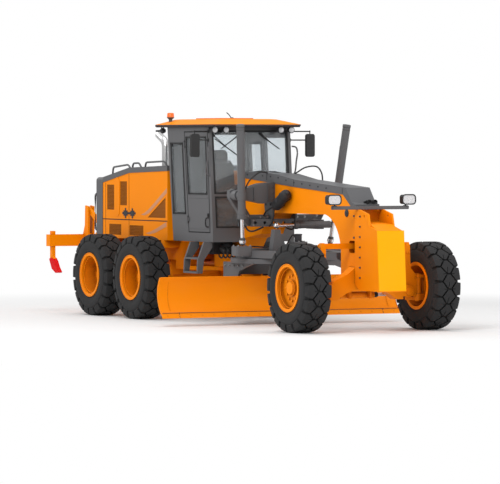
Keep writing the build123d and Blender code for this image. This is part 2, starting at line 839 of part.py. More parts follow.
# Front axle: arched beam with forked ends, centre bore and the steering ram
with BuildPart() as front_axle:
    with BuildSketch(at_x(front_axle_x - axle_half_l)):
        with BuildLine():
            Polyline(
                (-520, 480), (-640, 480), (-640, 610), (-600, 760), (-330, 880), (-200, axle_top_z),
                (200, axle_top_z), (330, 880), (600, 760), (640, 610), (640, 480), (520, 480),
            )
            ThreePointArc((520, 480), (0, 660), (-520, 480))
        make_face()
        with Locations((0, axle_pin_z)):
            Circle(axle_pin_r + pin_gap, mode=Mode.SUBTRACT)
    extrude(amount=2 * axle_half_l)
    for side in (-1, 1):
        for cheek in (-1, 1):
            with BuildSketch(at_x(front_axle_x + cheek * (lean_half_t + move_gap))):
                with BuildLine():
                    Polyline(
                        (side * lean_y, lean_z - 90), (side * 560, 540), (side * 560, 740),
                        (side * lean_y, lean_z + 90),
                    )
                    ThreePointArc(
                        (side * lean_y, lean_z + 90), (side * (lean_y + 90), lean_z),
                        (side * lean_y, lean_z - 90),
                    )
                make_face()
            extrude(amount=cheek * 40)
        with BuildSketch(at_x(front_axle_x - lean_half_t - 45)):
            with Locations((side * lean_y, lean_z)):
                Circle(lean_pin_r)
        extrude(amount=2 * lean_half_t + 90)
        with BuildSketch(at_y(side * 180 + 20)):
            outline([
                (front_axle_x - axle_half_l + 1, 490), (tie_x, tie_z - 30), (tie_x, tie_z + 30),
                (front_axle_x - axle_half_l + 1, 720),
            ])
        extrude(amount=40)
    with BuildSketch(at_y(steer_barrel_half)):
        with Locations((tie_x, tie_z)):
            Circle(52)
    extrude(amount=2 * steer_barrel_half)
    with BuildSketch(at_y(steer_barrel_half)):
        with Locations((tie_x, tie_z)):
            Circle(tie_r + pin_gap)
    extrude(amount=2 * steer_barrel_half, mode=Mode.SUBTRACT)
keep("front_axle", front_axle)


# Lean brackets, knuckles, the bar that ties the brackets together and the steering rod
def make_lean_bracket(side):
    with BuildPart() as bracket:
        with BuildSketch(at_x(front_axle_x - lean_half_t)):
            outline([
                (side * 690, 560), (side * 682, 900), (side * 695, 1290), (side * 718, 1352),
                (side * 762, 1352), (side * 782, 1290), (side * 792, 960), (side * 905, 830),
                (side * 905, 525), (side * 760, 520),
            ])
            with Locations((side * lean_y, lean_z)):
                Circle(lean_pin_r + pin_gap, mode=Mode.SUBTRACT)
        extrude(amount=2 * lean_half_t)
        with BuildSketch(at_x(front_axle_x - lean_half_t - 1)):
            with Locations((side * lean_y, lean_bar_z)):
                Rectangle(240, 130)
        extrude(amount=lean_half_t + 1 - 22, mode=Mode.SUBTRACT)
        for low_z, tall in ((ear_low_z - 60, 110 + 2 * move_gap), (ear_top_z - move_gap, 80)):
            with BuildSketch(at_z(low_z)):
                with Locations((front_axle_x, side * kingpin_y)):
                    Circle(ear_r + 12)
            extrude(amount=tall, mode=Mode.SUBTRACT)
        tube_low = ear_low_z + ear_t + move_gap
        with BuildSketch(at_z(tube_low)):
            with Locations((front_axle_x, side * kingpin_y)):
                Circle(62)
        extrude(amount=ear_top_z - move_gap - tube_low)
        with BuildSketch(at_z(tube_low)):
            with Locations((front_axle_x, side * kingpin_y)):
                Circle(kingpin_r + pin_gap)
        extrude(amount=ear_top_z - move_gap - tube_low, mode=Mode.SUBTRACT)
        with BuildSketch(at_x(front_axle_x - lean_half_t)):
            with Locations((side * lean_y, lean_bar_z)):
                Circle(lean_bar_pin_r)
        extrude(amount=lean_half_t)
    return bracket


def make_knuckle(side):
    web_y = kingpin_y + 96
    with BuildPart() as knuckle:
        for ear_z, tall in ((ear_low_z - 51, ear_t + 51), (ear_top_z, ear_t)):
            with BuildSketch(at_z(ear_z)):
                with Locations((front_axle_x, side * kingpin_y)):
                    Circle(ear_r)
                with Locations((front_axle_x, side * (kingpin_y + 60))):
                    Rectangle(2 * ear_r, 120)
            extrude(amount=tall)
        with BuildSketch(at_z(ear_low_z)):
            with Locations((front_axle_x, side * kingpin_y)):
                Circle(kingpin_r)
        extrude(amount=ear_top_z + ear_t - ear_low_z)
        with BuildSketch(at_y(side * web_y)):
            with Locations((front_axle_x, (ear_low_z + ear_top_z + ear_t) / 2)):
                RectangleRounded(150, ear_top_z + ear_t - ear_low_z, 30)
        extrude(amount=-side * 50)
        with BuildSketch(at_y(side * web_y)):
            with Locations((front_axle_x, wheel_z)):
                Circle(70)
        extrude(amount=-side * (track_half + front_dish - dish_t / 2 - seat_gap - web_y))
        with BuildSketch(at_z(ear_low_z - 51)):
            outline([
                (front_axle_x + 30, side * (kingpin_y - 50)), (front_axle_x - steer_arm, side * 838),
                (front_axle_x - steer_arm, side * 888), (front_axle_x - 60, side * (kingpin_y + 20)),
            ])
        extrude(amount=45)
    return knuckle


for side, hand in ((-1, "right"), (1, "left")):
    keep(f"lean_bracket_{hand}", make_lean_bracket(side))
    keep(f"knuckle_{hand}", make_knuckle(side))

with BuildPart() as lean_bar:
    with BuildSketch(at_x(front_axle_x - lean_half_t)):
        with Locations((0, lean_bar_z)):
            Rectangle(2 * lean_y, 84)
        with Locations((-lean_y, lean_bar_z), (lean_y, lean_bar_z)):
            Circle(42)
        with Locations((-lean_y, lean_bar_z), (lean_y, lean_bar_z)):
            Circle(lean_bar_pin_r + pin_gap, mode=Mode.SUBTRACT)
    extrude(amount=28)
keep("lean_bar", lean_bar)

with BuildPart() as tie_rod:
    with BuildSketch(at_y(tie_half)):
        with Locations((tie_x, tie_z)):
            Circle(tie_r)
    extrude(amount=2 * tie_half)
keep("tie_rod", tie_rod)

# Saddle: hanger plates on the gooseneck, crank arms and the lock bar with its row of holes
with BuildPart() as saddle:
    for side in (-1, 1):
        with BuildSketch(at_y(side * (frame_half_w + 14) + 14)):
            outline([
                (saddle_x - 190, 2190), (saddle_x + 150, 2170), (saddle_x + 90, 1560),
                (saddle_x - 90, 1560),
            ])
        extrude(amount=28)
        with BuildSketch(at_x(saddle_x - 60)):
            outline([
                (side * frame_half_w, 1560), (side * 600, 1560), (side * 700, 1640),
                (side * 790, 1800), (side * 935, 2000), (side * 940, 2120), (side * 860, 2150),
                (side * 775, 2110), (side * 690, 1900), (side * 580, 1740),
                (side * frame_half_w, 1740),
            ])
        extrude(amount=95)
        with BuildSketch(at_x(saddle_x - 75)):
            with Locations((side * lift_top[1], lift_top[2])):
                Circle(80)
        extrude(amount=lift_top[0] - lift_barrel_r - stub_l - seat_gap - saddle_x + 75)
    with BuildSketch(at_x(saddle_x + 40)):
        with Locations((0, lock_bar_z)):
            Rectangle(2 * lock_bar_half, 120)
            with GridLocations(170, 1, 7, 1):
                Circle(26, mode=Mode.SUBTRACT)
    extrude(amount=45)
    # lug of the circle-shift ram
    with BuildSketch(at_x(saddle_x)):
        with Locations((shift_base[1], shift_base[2])):
            Rectangle(100, 150)
    extrude(amount=shift_base[0] - shift_barrel_r - stub_l - seat_gap - saddle_x)
keep("saddle", saddle)


# Rams: barrel and rod on one line, the barrel's bore open at the rod's end
def make_barrel(base, eye, back, reach, radius, rod_r):
    """Barrel from back behind the base pin to reach ahead of it."""
    plane = along(base, eye)
    with BuildPart() as barrel:
        with BuildSketch(plane.offset(-back)):
            Circle(radius)
        extrude(amount=back + reach)
        with BuildSketch(plane.offset(reach - 40)):
            Circle(radius + 10)
        extrude(amount=40)
        with BuildSketch(plane.offset(-back + 60)):
            Circle(rod_r + pin_gap)
        extrude(amount=back + reach, mode=Mode.SUBTRACT)
    return barrel


def make_rod(base, eye, inside, rod_r, eye_r):
    """Rod from inside, a distance ahead of the base pin, to a ball at the eye."""
    plane = along(base, eye)
    length = span(base, eye)
    with BuildPart() as rod:
        with BuildSketch(plane.offset(inside)):
            Circle(rod_r)
        extrude(amount=length - inside)
        with Locations(eye):
            Sphere(eye_r)
        with BuildSketch(plane.offset(length - eye_r)):
            Circle(eye_r + 8)
        extrude(amount=eye_r - 8)
    return rod


for side, hand in ((-1, "right"), (1, "left")):
    base = (lift_top[0], side * lift_top[1], lift_top[2])
    eye = (lift_eye[0], side * lift_eye[1], lift_eye[2])
    barrel = make_barrel(base, eye, lift_up, lift_down, lift_barrel_r, lift_rod_r)
    with BuildPart() as lift_barrel:
        with BuildSketch(at_x(base[0] - lift_barrel_r - stub_l)):
            with Locations((base[1], base[2])):
                Circle(60)
        extrude(amount=lift_barrel_r)
        add(barrel.part)
        with BuildSketch(along(base, eye).offset(-lift_up + 60)):
            Circle(lift_rod_r + pin_gap)
        extrude(amount=lift_up + lift_down, mode=Mode.SUBTRACT)
    keep(f"lift_barrel_{hand}", lift_barrel)
    keep(f"lift_rod_{hand}", make_rod(base, eye, -lift_down, lift_rod_r, ball_eye_r))

barrel = make_barrel(shift_base, shift_eye, shift_back, shift_ahead, shift_barrel_r, shift_rod_r)
with BuildPart() as shift_barrel:
    with BuildSketch(at_x(shift_base[0] - shift_barrel_r - stub_l)):
        with Locations((shift_base[1], shift_base[2])):
            Circle(45)
    extrude(amount=shift_barrel_r)
    add(barrel.part)
    with BuildSketch(along(shift_base, shift_eye).offset(-shift_back + 60)):
        Circle(shift_rod_r + pin_gap)
    extrude(amount=700, mode=Mode.SUBTRACT)
keep("shift_barrel", shift_barrel)
keep("shift_rod", make_rod(shift_base, shift_eye, 200, shift_rod_r, shift_eye_r))

# Swivel barrel that carries the drawbar's nose in the frame's socket
with BuildPart() as drawbar_swivel:
    with BuildSketch(at_z(ball_z - swivel_half_h)):
        with Locations((ball_x, 0)):
            Circle(ball_r)
    extrude(amount=2 * swivel_half_h)
    with BuildSketch(at_y(ball_r)):
        with Locations((ball_x, ball_z)):
            Circle(ball_pin_r + pin_gap)
    extrude(amount=2 * ball_r, mode=Mode.SUBTRACT)
keep("drawbar_swivel", drawbar_swivel)

# Drawbar: A-frame, cross member with two ball cups, circle guide and drive
ring_top = circle_z + circle_t
with BuildPart() as drawbar:
    for side in (-1, 1):
        with BuildSketch(at_z(1062)):
            outline([
                (ball_x - 130, side * 30), (ball_x - 130, side * 114), (tandem_x + 3760, side * 690),
                (tandem_x + 3590, side * 690), (tandem_x + 3590, side * 540),
                (tandem_x + 3700, side * 500), (ball_x - 330, side * 30),
            ])
        extrude(amount=120)
        # lugs either side of the ball
        with BuildSketch(at_y(side * (ball_r + 19) + 15)):
            with BuildLine():
                Polyline(
                    (ball_x, ball_z + 45), (ball_x - 180, ball_z + 105), (ball_x - 180, ball_z - 15),
                    (ball_x, ball_z - 45),
                )
                ThreePointArc(
                    (ball_x, ball_z - 45), (ball_x + 45, ball_z), (ball_x, ball_z + 45)
                )
            make_face()
        extrude(amount=30)
    with BuildSketch(at_y(ball_r + 34)):
        with Locations((ball_x, ball_z)):
            Circle(ball_pin_r)
    extrude(amount=2 * ball_r + 68)
    with BuildSketch(at_z(ball_z - 15)):
        outline([
            (ball_x - 110, -114), (ball_x - 110, 114), (ball_x - 420, 170), (ball_x - 420, -170),
        ])
    extrude(amount=120)
    with BuildSketch(at_x(tandem_x + 3590)):
        with Locations((0, 1150)):
            Rectangle(1700, 130)
    extrude(amount=190)
    with BuildSketch(at_z(ring_top + seat_gap)):
        with Locations((circle_x, 0)):
            Circle(710)
            Circle(500, mode=Mode.SUBTRACT)
    extrude(amount=34)
    for side in (-1, 1):
        with BuildSketch(at_z(1100)):
            with Locations((lift_eye[0], side * (lift_eye[1] + 10))):
                RectangleRounded(210, 290, 40)
        extrude(amount=lift_eye[2] - ball_eye_r - move_gap - 1100)
    # post below the eye of the circle-shift ram
    with BuildSketch(at_x(shift_eye[0] - 60)):
        outline([
            (shift_eye[1] - 110, 1065), (shift_eye[1] + 110, 1065),
            (shift_eye[1] + 50, shift_eye[2] - shift_eye_r - shift_post_gap),
            (shift_eye[1] - 50, shift_eye[2] - shift_eye_r - shift_post_gap),
        ])
    extrude(amount=120)
    with BuildSketch(at_z(ring_top + 30)):
        with Locations((tandem_x + 4060, 0)):
            RectangleRounded(230, 250, 50)
    extrude(amount=240)
keep("drawbar", drawbar)

# Circle: turning ring with two drop arms and the rear cross box
with BuildPart() as circle:
    with BuildSketch(at_z(circle_z)):
        with Locations((circle_x, 0)):
            Circle(circle_r)
            Circle(circle_bore, mode=Mode.SUBTRACT)
            with PolarLocations(circle_bore - tooth_h / 2 + 4, tooth_count):
                Rectangle(tooth_h + 8, tooth_w)
    extrude(amount=circle_t)
    for side in (-1, 1):
        with BuildSketch(at_y(side * arm_y + arm_t / 2)):
            with BuildLine():
                Polyline(
                    (tilt_x + 620, circle_z - 5), (tilt_x + 620, circle_z + 10),
                    (tandem_x + 2860, circle_z + 10),
                    (tandem_x + 2860, 735), (tandem_x + 3010, 700), (tilt_x - 75, tilt_z + 20),
                )
                ThreePointArc(
                    (tilt_x - 75, tilt_z + 20), (tilt_x, tilt_z - 50), (tilt_x + 50, tilt_z + 20)
                )
                Polyline((tilt_x + 50, tilt_z + 20), (tilt_x + 50, 640), (tilt_x + 160, 850))
                ThreePointArc(
                    (tilt_x + 160, 850), (tilt_x + 330, 905), (tilt_x + 620, circle_z - 5)
                )
            make_face()
            with Locations((tilt_x, tilt_z)):
                Circle(tilt_pin_r + pin_gap, mode=Mode.SUBTRACT)
        extrude(amount=arm_t)
    with BuildSketch(at_y(arm_y)):
        with Locations((tandem_x + 2900, 880)):
            Rectangle(70, 200)
    extrude(amount=2 * arm_y)
keep("circle", circle)

# Blade carrier: pivot tube, side plates that grip the blade's rails, and the side-shift barrel
with BuildPart() as blade_carrier:
    for side in (-1, 1):
        with BuildSketch(at_y(side * carrier_y + 25)):
            outline([
                (tilt_x - 60, tilt_z - 40), (tilt_x - 20, tilt_z - 58), (tilt_x + 60, rail_low_z - 34),
                (low_rail_x + 34, rail_low_z - 34), (low_rail_x + 34, rail_low_z - 16 - seat_gap),
                (low_rail_x - seat_gap, rail_low_z - 16 - seat_gap),
                (low_rail_x - seat_gap, rail_low_z + 16 + seat_gap),
                (low_rail_x + 34, rail_low_z + 16 + seat_gap), (low_rail_x + 34, rail_low_z + 34),
                (tilt_x + 70, tilt_z - 45), (tilt_x + 55, tilt_z + 70), (tilt_x + 70, rail_high_z - 34),
                (high_rail_x + 24, rail_high_z - 34), (high_rail_x + 24, rail_high_z - 16 - seat_gap),
                (high_rail_x - seat_gap, rail_high_z - 16 - seat_gap),
                (high_rail_x - seat_gap, rail_high_z + 16 + seat_gap),
                (high_rail_x + 24, rail_high_z + 16 + seat_gap), (high_rail_x + 24, rail_high_z + 34),
                (tilt_x + 60, rail_high_z + 70), (tilt_x - 50, rail_high_z + 20),
            ])
        extrude(amount=50)
        with BuildSketch(at_y(side * (carrier_y + 24))):
            with Locations((tilt_x, tilt_z)):
                Circle(tilt_pin_r)
        extrude(amount=-side * (arm_y + arm_t / 2 + 8 - carrier_y - 24))
    with BuildSketch(at_y(carrier_y)):
        with Locations((tilt_x, tilt_z)):
            Circle(48)
        with Locations((tilt_x - 5, rail_high_z + 20)):
            Circle(34)
        with Locations((side_ram_x, side_ram_z)):
            Circle(35)
    extrude(amount=2 * carrier_y)
    with BuildSketch(at_y(carrier_y + 30)):
        with Locations((side_ram_x, side_ram_z)):
            Circle(side_rod_r + pin_gap)
    extrude(amount=carrier_y + 30 + 520, mode=Mode.SUBTRACT)
keep("blade_carrier", blade_carrier)

# Moldboard: curved plate with cutting edge, end bits, slide rails and the side-shift rod
with BuildPart() as moldboard:
    with BuildSketch(at_y(blade_half)):
        with BuildLine():
            ThreePointArc(blade_top, blade_mid, blade_low)
            Line(blade_low, (blade_low[0] - blade_t, blade_low[1] - 8))
            ThreePointArc(
                (blade_low[0] - blade_t, blade_low[1] - 8), (blade_mid[0] - blade_t, blade_mid[1]),
                (blade_top[0] - blade_t, blade_top[1] + 8),
            )
            Line((blade_top[0] - blade_t, blade_top[1] + 8), blade_top)
        make_face()
    extrude(amount=2 * blade_half)
    with BuildSketch(at_y(blade_half)):
        outline([
            (blade_low[0] - 40, blade_low[1] + 34), (blade_low[0] - 12, blade_low[1] + 34),
            (blade_low[0] + 30, edge_low_z), (blade_low[0] + 10, edge_low_z),
        ])
    extrude(amount=2 * blade_half)
    for rail_z_mid, rail_x, rail_end in (
        (rail_low_z, low_rail_x, low_rail_x + 68), (rail_high_z, high_rail_x, high_rail_x + 46),
    ):
        with BuildSketch(at_y(1500)):
            with Locations(((rail_x + rail_end) / 2, rail_z_mid)):
                Rectangle(rail_end - rail_x, 32)
        extrude(amount=3000)
    with BuildSketch(at_y(1230)):
        with Locations((side_ram_x, side_ram_z)):
            Circle(side_rod_r)
    extrude(amount=1180)
    with BuildSketch(at_y(1230)):
        with Locations((side_ram_x, side_ram_z)):
            Circle(26)
        with Locations(((side_ram_x + blade_mid[0] - 12) / 2, side_ram_z)):
            Rectangle(blade_mid[0] - 12 - side_ram_x, 52)
    extrude(amount=30)
keep("moldboard", moldboard)

# Cab: hollow shell with floor, posts, lower panels and window openings


def cab_front(z):
    """Station of the cab's front face at this height."""
    share = max(0.0, (z - cab_bend_z) / (cab_top_z - cab_bend_z))
    return cab_front_low_x + share * (cab_front_top_x - cab_front_low_x)


def cab_rear(z):
    """Station of the cab's rear face at this height."""
    share = (z - cab_floor_z) / (cab_top_z - cab_floor_z)
    return cab_rear_low_x + share * (cab_rear_top_x - cab_rear_low_x)


def door_rear(z):
    """Station of the doorway's rear edge at this height."""
    share = (z - door_low_z) / (door_top_z - door_low_z)
    return door_rear_x + share * (door_rear_top_x - door_rear_x)


def door_front(z):
    """Station of the doorway's front edge at this height."""
    share = (z - door_low_z) / (door_top_z - door_low_z)
    return door_front_x + share * (door_front_top_x - door_front_x)


side_window = [
    (cab_rear(side_glass_low_z) + 75, side_glass_low_z),
    (door_rear(side_glass_low_z) - 95, side_glass_low_z),
    (door_rear(side_glass_top_z) - 95, side_glass_top_z),
    (cab_rear(side_glass_top_z) + 110, side_glass_top_z),
]
doorway = [
    (door_rear(door_low_z), door_low_z), (door_front(door_low_z), door_low_z),
    (door_front(door_top_z), door_top_z), (door_rear(door_top_z), door_top_z),
]
door_window = [
    (door_rear(door_glass_low_z) + 60, door_glass_low_z),
    (door_front(door_glass_low_z) - 75, door_glass_low_z),
    (door_front(door_glass_top_z) - 75, door_glass_top_z),
    (door_rear(door_glass_top_z) + 60, door_glass_top_z),
]
hinge_dir = (door_rear_top_x - door_rear_x, 0, door_top_z - door_low_z)


def hinge_plane(side, z):
    """Plane across a door hinge at this height, local x to the left, local y to the rear."""
    return Plane(
        origin=(door_rear(z) + panel_gap / 2, side * (cab_half_w + hinge_out), z),
        x_dir=(0, 1, 0), z_dir=hinge_dir,
    )


cross_panes = [
    # station of the face, low z, high z, middle y, width, depth of the pane behind the face
    (cab_front, 2080, cab_top_z - 100, 0, 1330, 26),
    (cab_front, 1530, 2000, -465, 400, 26),
    (cab_front, 1530, 2000, 465, 400, 26),
    (cab_rear, 2180, cab_top_z - 140, 0, 1240, -18),
]
with BuildPart() as cab_shell:
    with BuildSketch(Plane.XZ):
        outline([
            (cab_rear_low_x, cab_floor_z), (cab_front_low_x, cab_floor_z),
            (cab_front_low_x, cab_bend_z), (cab_front_top_x, cab_top_z), (cab_rear_top_x, cab_top_z),
        ])
    extrude(amount=cab_half_w, both=True)
    with BuildSketch(Plane.XZ):
        outline([
            (cab_rear(cab_floor_z + 60) + cab_wall, cab_floor_z + 60),
            (cab_front_low_x - cab_wall, cab_floor_z + 60), (cab_front_low_x - cab_wall, cab_bend_z),
            (cab_front(cab_top_z - 50) - cab_wall, cab_top_z - 50),
            (cab_rear(cab_top_z - 50) + cab_wall, cab_top_z - 50),
        ])
    extrude(amount=cab_half_w - cab_wall, both=True, mode=Mode.SUBTRACT)
    # doorways and side windows through both walls
    with BuildSketch(Plane.XZ):
        outline(doorway)
        outline(side_window)
    extrude(amount=cab_half_w + 1, both=True, mode=Mode.SUBTRACT)
    # front and rear windows, each cut through its own wall
    for face, low, high, middle, width, depth in cross_panes:
        reach = 150 if depth > 0 else -150
        with BuildSketch(at_y(middle + width / 2)):
            outline([
                (face(low) - reach, low), (face(low) + reach, low), (face(high) + reach, high),
                (face(high) - reach, high),
            ])
        extrude(amount=width, mode=Mode.SUBTRACT)
    # the frame's tail rises through the floor and the lower front
    with BuildSketch(at_z(cab_floor_z - 1)):
        with Locations(((tunnel_x - seat_gap + cab_front_low_x + 1) / 2, 0)):
            Rectangle(cab_front_low_x + 1 - tunnel_x + seat_gap, 2 * (frame_half_w + seat_gap))
    extrude(amount=tunnel_z + seat_gap - cab_floor_z + 1, mode=Mode.SUBTRACT)
    # hinge pins of the two doors, each held by two blocks
    for side in (-1, 1):
        for z in hinge_heights:
            plane = hinge_plane(side, z)
            for low in (-hinge_sleeve / 2 - hinge_play - hinge_block, hinge_sleeve / 2 + hinge_play):
                with BuildSketch(plane.offset(low)):
                    Circle(hinge_knuckle_r)
                    with Locations((-side * (hinge_out - 5), 25)):
                        Rectangle(10, 50)
                extrude(amount=hinge_block)
            with BuildSketch(plane.offset(-hinge_sleeve / 2 - hinge_block)):
                Circle(hinge_rod_r)
            extrude(amount=hinge_sleeve + 2 * hinge_block)
keep("cab_shell", cab_shell)

with BuildPart() as cab_roof:
    with BuildSketch(at_z(cab_top_z)):
        with Locations(((roof_rear_x + roof_front_x) / 2, 0)):
            RectangleRounded(roof_front_x - roof_rear_x, 2 * roof_half_w, 90)
    extrude(amount=roof_t, taper=32)
    with BuildSketch(at_z(cab_top_z + roof_t)):
        with Locations((tandem_x + 1650, 0)):
            RectangleRounded(520, 620, 40)
    extrude(amount=22)
keep("cab_roof", cab_roof)

# Glass panes set in the cab's windows
with BuildPart() as cab_glass:
    for side in (-1, 1):
        with BuildSketch(at_y(side * (cab_half_w - 18))):
            outline(side_window)
            offset(amount=-seat_gap, kind=Kind.INTERSECTION)
        extrude(amount=side * glass_t)
    for face, low, high, middle, width, depth in cross_panes:
        with BuildSketch(at_y(middle + width / 2 - seat_gap)):
            outline([
                (face(low + seat_gap) - depth, low + seat_gap),
                (face(low + seat_gap) - depth + glass_t, low + seat_gap),
                (face(high - seat_gap) - depth + glass_t, high - seat_gap),
                (face(high - seat_gap) - depth, high - seat_gap),
            ])
        extrude(amount=width - 2 * seat_gap)
keep("cab_glass", cab_glass)


# Doors: panel with window opening and two hinge sleeves on the rear edge
def make_door(side):
    with BuildPart() as door:
        with BuildSketch(at_y(side * cab_half_w)):
            outline(doorway)
            offset(amount=-panel_gap, kind=Kind.INTERSECTION)
            outline(door_window, mode=Mode.SUBTRACT)
        extrude(amount=side * door_t)
        for z in hinge_heights:
            with BuildSketch(hinge_plane(side, z).offset(-hinge_sleeve / 2)):
                Circle(hinge_knuckle_r)
                with Locations((-side * (hinge_out - 5), -25)):
                    Rectangle(10, 50)
            extrude(amount=hinge_sleeve)
            with BuildSketch(hinge_plane(side, z).offset(-hinge_sleeve / 2)):
                Circle(hinge_rod_r + pin_gap)
            extrude(amount=hinge_sleeve, mode=Mode.SUBTRACT)
    return door


def make_door_glass(side):
    with BuildPart() as pane:
        with BuildSketch(at_y(side * (cab_half_w - 14))):
            outline(door_window)
            offset(amount=-seat_gap, kind=Kind.INTERSECTION)
        extrude(amount=side * glass_t)
    return pane


for side, hand in ((-1, "right"), (1, "left")):
    keep(f"door_{hand}", make_door(side))
    keep(f"door_glass_{hand}", make_door_glass(side))

# Seat and steering console inside the cab
floor_top = cab_floor_z + 60
with BuildPart() as seat:
    with BuildSketch(at_y(250)):
        outline([
            (tandem_x + 1480, floor_top), (tandem_x + 1860, floor_top),
            (tandem_x + 1830, 1700), (tandem_x + 1950, 1760), (tandem_x + 1950, 1870),
            (tandem_x + 1560, 1850), (tandem_x + 1440, 2480), (tandem_x + 1340, 2460),
            (tandem_x + 1430, 1720), (tandem_x + 1520, 1680),
        ])
    extrude(amount=500)
keep("seat", seat)

with BuildPart() as console:
    with BuildSketch(at_y(130)):
        outline([
            (tandem_x + 2060, floor_top), (tandem_x + 2215, floor_top),
            (tandem_x + 2215, 2080), (tandem_x + 2110, 2080),
        ])
    extrude(amount=260)
keep("console", console)

# Mirrors with their arms, and the head lamps on the bar over the front axle
mirror_y = 985.0
mirror_arm = (tandem_x + 2412, cab_top_z - 160)
with BuildPart() as mirrors:
    for side in (-1, 1):
        with BuildSketch(at_y(side * cab_half_w)):
            with Locations(mirror_arm):
                Circle(14)
        extrude(amount=-side * (mirror_y - cab_half_w + 14))
        with BuildSketch(at_x(mirror_arm[0])):
            with Locations((side * mirror_y, mirror_arm[1])):
                Circle(14)
        extrude(amount=160)
        with BuildSketch(at_x(mirror_arm[0] + 150)):
            with Locations((side * mirror_y, mirror_arm[1] - 110)):
                RectangleRounded(180, 340, 40)
        extrude(amount=55)
keep("mirrors", mirrors)

with BuildPart() as head_lamps:
    for side in (-1, 1):
        with BuildSketch(at_x(front_axle_x + 155)):
            with Locations((side * 652, 2010)):
                RectangleRounded(225, 145, 40)
        extrude(amount=90)
        with BuildSketch(at_z(lamp_bar_z)):
            with Locations((front_axle_x + 194, side * 620)):
                Circle(14)
        extrude(amount=40)
keep("head_lamps", head_lamps)

# Steps below the doors
with BuildPart() as steps:
    for side in (-1, 1):
        for rail_at in (tandem_x + 1975, tandem_x + 2440):
            with BuildSketch(at_x(rail_at)):
                outline([
                    (side * 700, cab_floor_z), (side * 850, cab_floor_z), (side * 960, 1000),
                    (side * 970, 785), (side * 880, 785), (side * 850, 1000), (side * 700, 1200),
                ])
            extrude(amount=36)
        for step_z, step_y in ((785, 925), (1010, 905)):
            with BuildSketch(at_z(step_z)):
                with Locations((tandem_x + 2225.5, side * step_y)):
                    Rectangle(466, 100)
            extrude(amount=30)
keep("steps", steps)

# Hydraulic pump and filter hung under the cab's right side
with BuildPart() as hydraulic_unit:
    with BuildSketch(at_x(tandem_x + 1980)):
        with Locations((-430, cab_floor_z - 100)):
            Rectangle(340, 200)
    extrude(amount=350)
    with BuildSketch(at_x(tandem_x + 2330)):
        with Locations((-420, cab_floor_z - 105)):
            Circle(80)
    extrude(amount=110)
keep("hydraulic_unit", hydraulic_unit)
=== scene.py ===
# Motor grader: finishes, trim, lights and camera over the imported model. Metres, +X forward, +Z up.
import math

import bmesh
import bpy
from mathutils import Matrix, Vector


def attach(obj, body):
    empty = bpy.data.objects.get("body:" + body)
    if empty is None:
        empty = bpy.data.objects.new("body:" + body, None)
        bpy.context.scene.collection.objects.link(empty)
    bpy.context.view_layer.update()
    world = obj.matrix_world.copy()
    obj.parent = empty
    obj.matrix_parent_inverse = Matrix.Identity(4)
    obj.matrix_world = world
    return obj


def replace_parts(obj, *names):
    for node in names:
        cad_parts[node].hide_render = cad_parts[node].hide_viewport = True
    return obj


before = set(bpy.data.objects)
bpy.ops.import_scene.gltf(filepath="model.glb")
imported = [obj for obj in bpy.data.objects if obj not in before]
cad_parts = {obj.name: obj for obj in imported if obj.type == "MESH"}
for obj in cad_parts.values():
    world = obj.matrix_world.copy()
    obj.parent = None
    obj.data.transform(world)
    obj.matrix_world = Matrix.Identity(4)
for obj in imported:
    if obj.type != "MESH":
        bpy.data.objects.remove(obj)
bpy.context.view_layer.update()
sides = (("right", -1), ("left", 1))
wheel = {"stations": {"rear": -2.86, "middle": -1.32, "front": 4.07}, "trackHalf": 1.126, "z": 0.678}
print("frame loaded")

# Shared effects
finishes = {
    "orange": (1.0, 0.280, 0.0),
    # lighter copy of the orange, painted light for faces lit head-on
    "orangePaintedLight": (1.0, 0.43, 0.0),
    "grey": (0.115, 0.115, 0.12),
    "greyDark": (0.055, 0.055, 0.06),
    "rubber": (0.015, 0.015, 0.016),
    "dust": (0.36, 0.32, 0.27),
}
paintDust = {"top": 1.3, "bottom": 0.1, "patch": 1.6, "peel": 160}


def setInputs(tree, node, values):
    for label, value in values.items():
        if isinstance(value, bpy.types.Node):
            value = value.outputs["Result" if value.type == "MIX" else 0]
        if isinstance(value, bpy.types.NodeSocket):
            tree.links.new(value, node.inputs[label])
        else:
            node.inputs[label].default_value = value


def addNode(tree, kind, values=None, **settings):
    node = tree.nodes.new("ShaderNode" + kind)
    for key, value in settings.items():
        setattr(node, key, value)
    setInputs(tree, node, values or {})
    return node


def multiply(tree, a, b):
    return addNode(tree, "Math", {0: a, 1: b}, operation="MULTIPLY")


def newGroup(name, inputs, outputs):
    group = bpy.data.node_groups.new(name, "ShaderNodeTree")
    for label, value in inputs.items():
        kind = "NodeSocketColor" if isinstance(value, tuple) else "NodeSocketFloat"
        group.interface.new_socket(label, in_out="INPUT", socket_type=kind).default_value = value
    for label in outputs:
        kind = "NodeSocketColor" if label == "Color" else "NodeSocketFloat"
        group.interface.new_socket(label, in_out="OUTPUT", socket_type=kind)
    return group, group.nodes.new("NodeGroupInput").outputs, group.nodes.new("NodeGroupOutput")


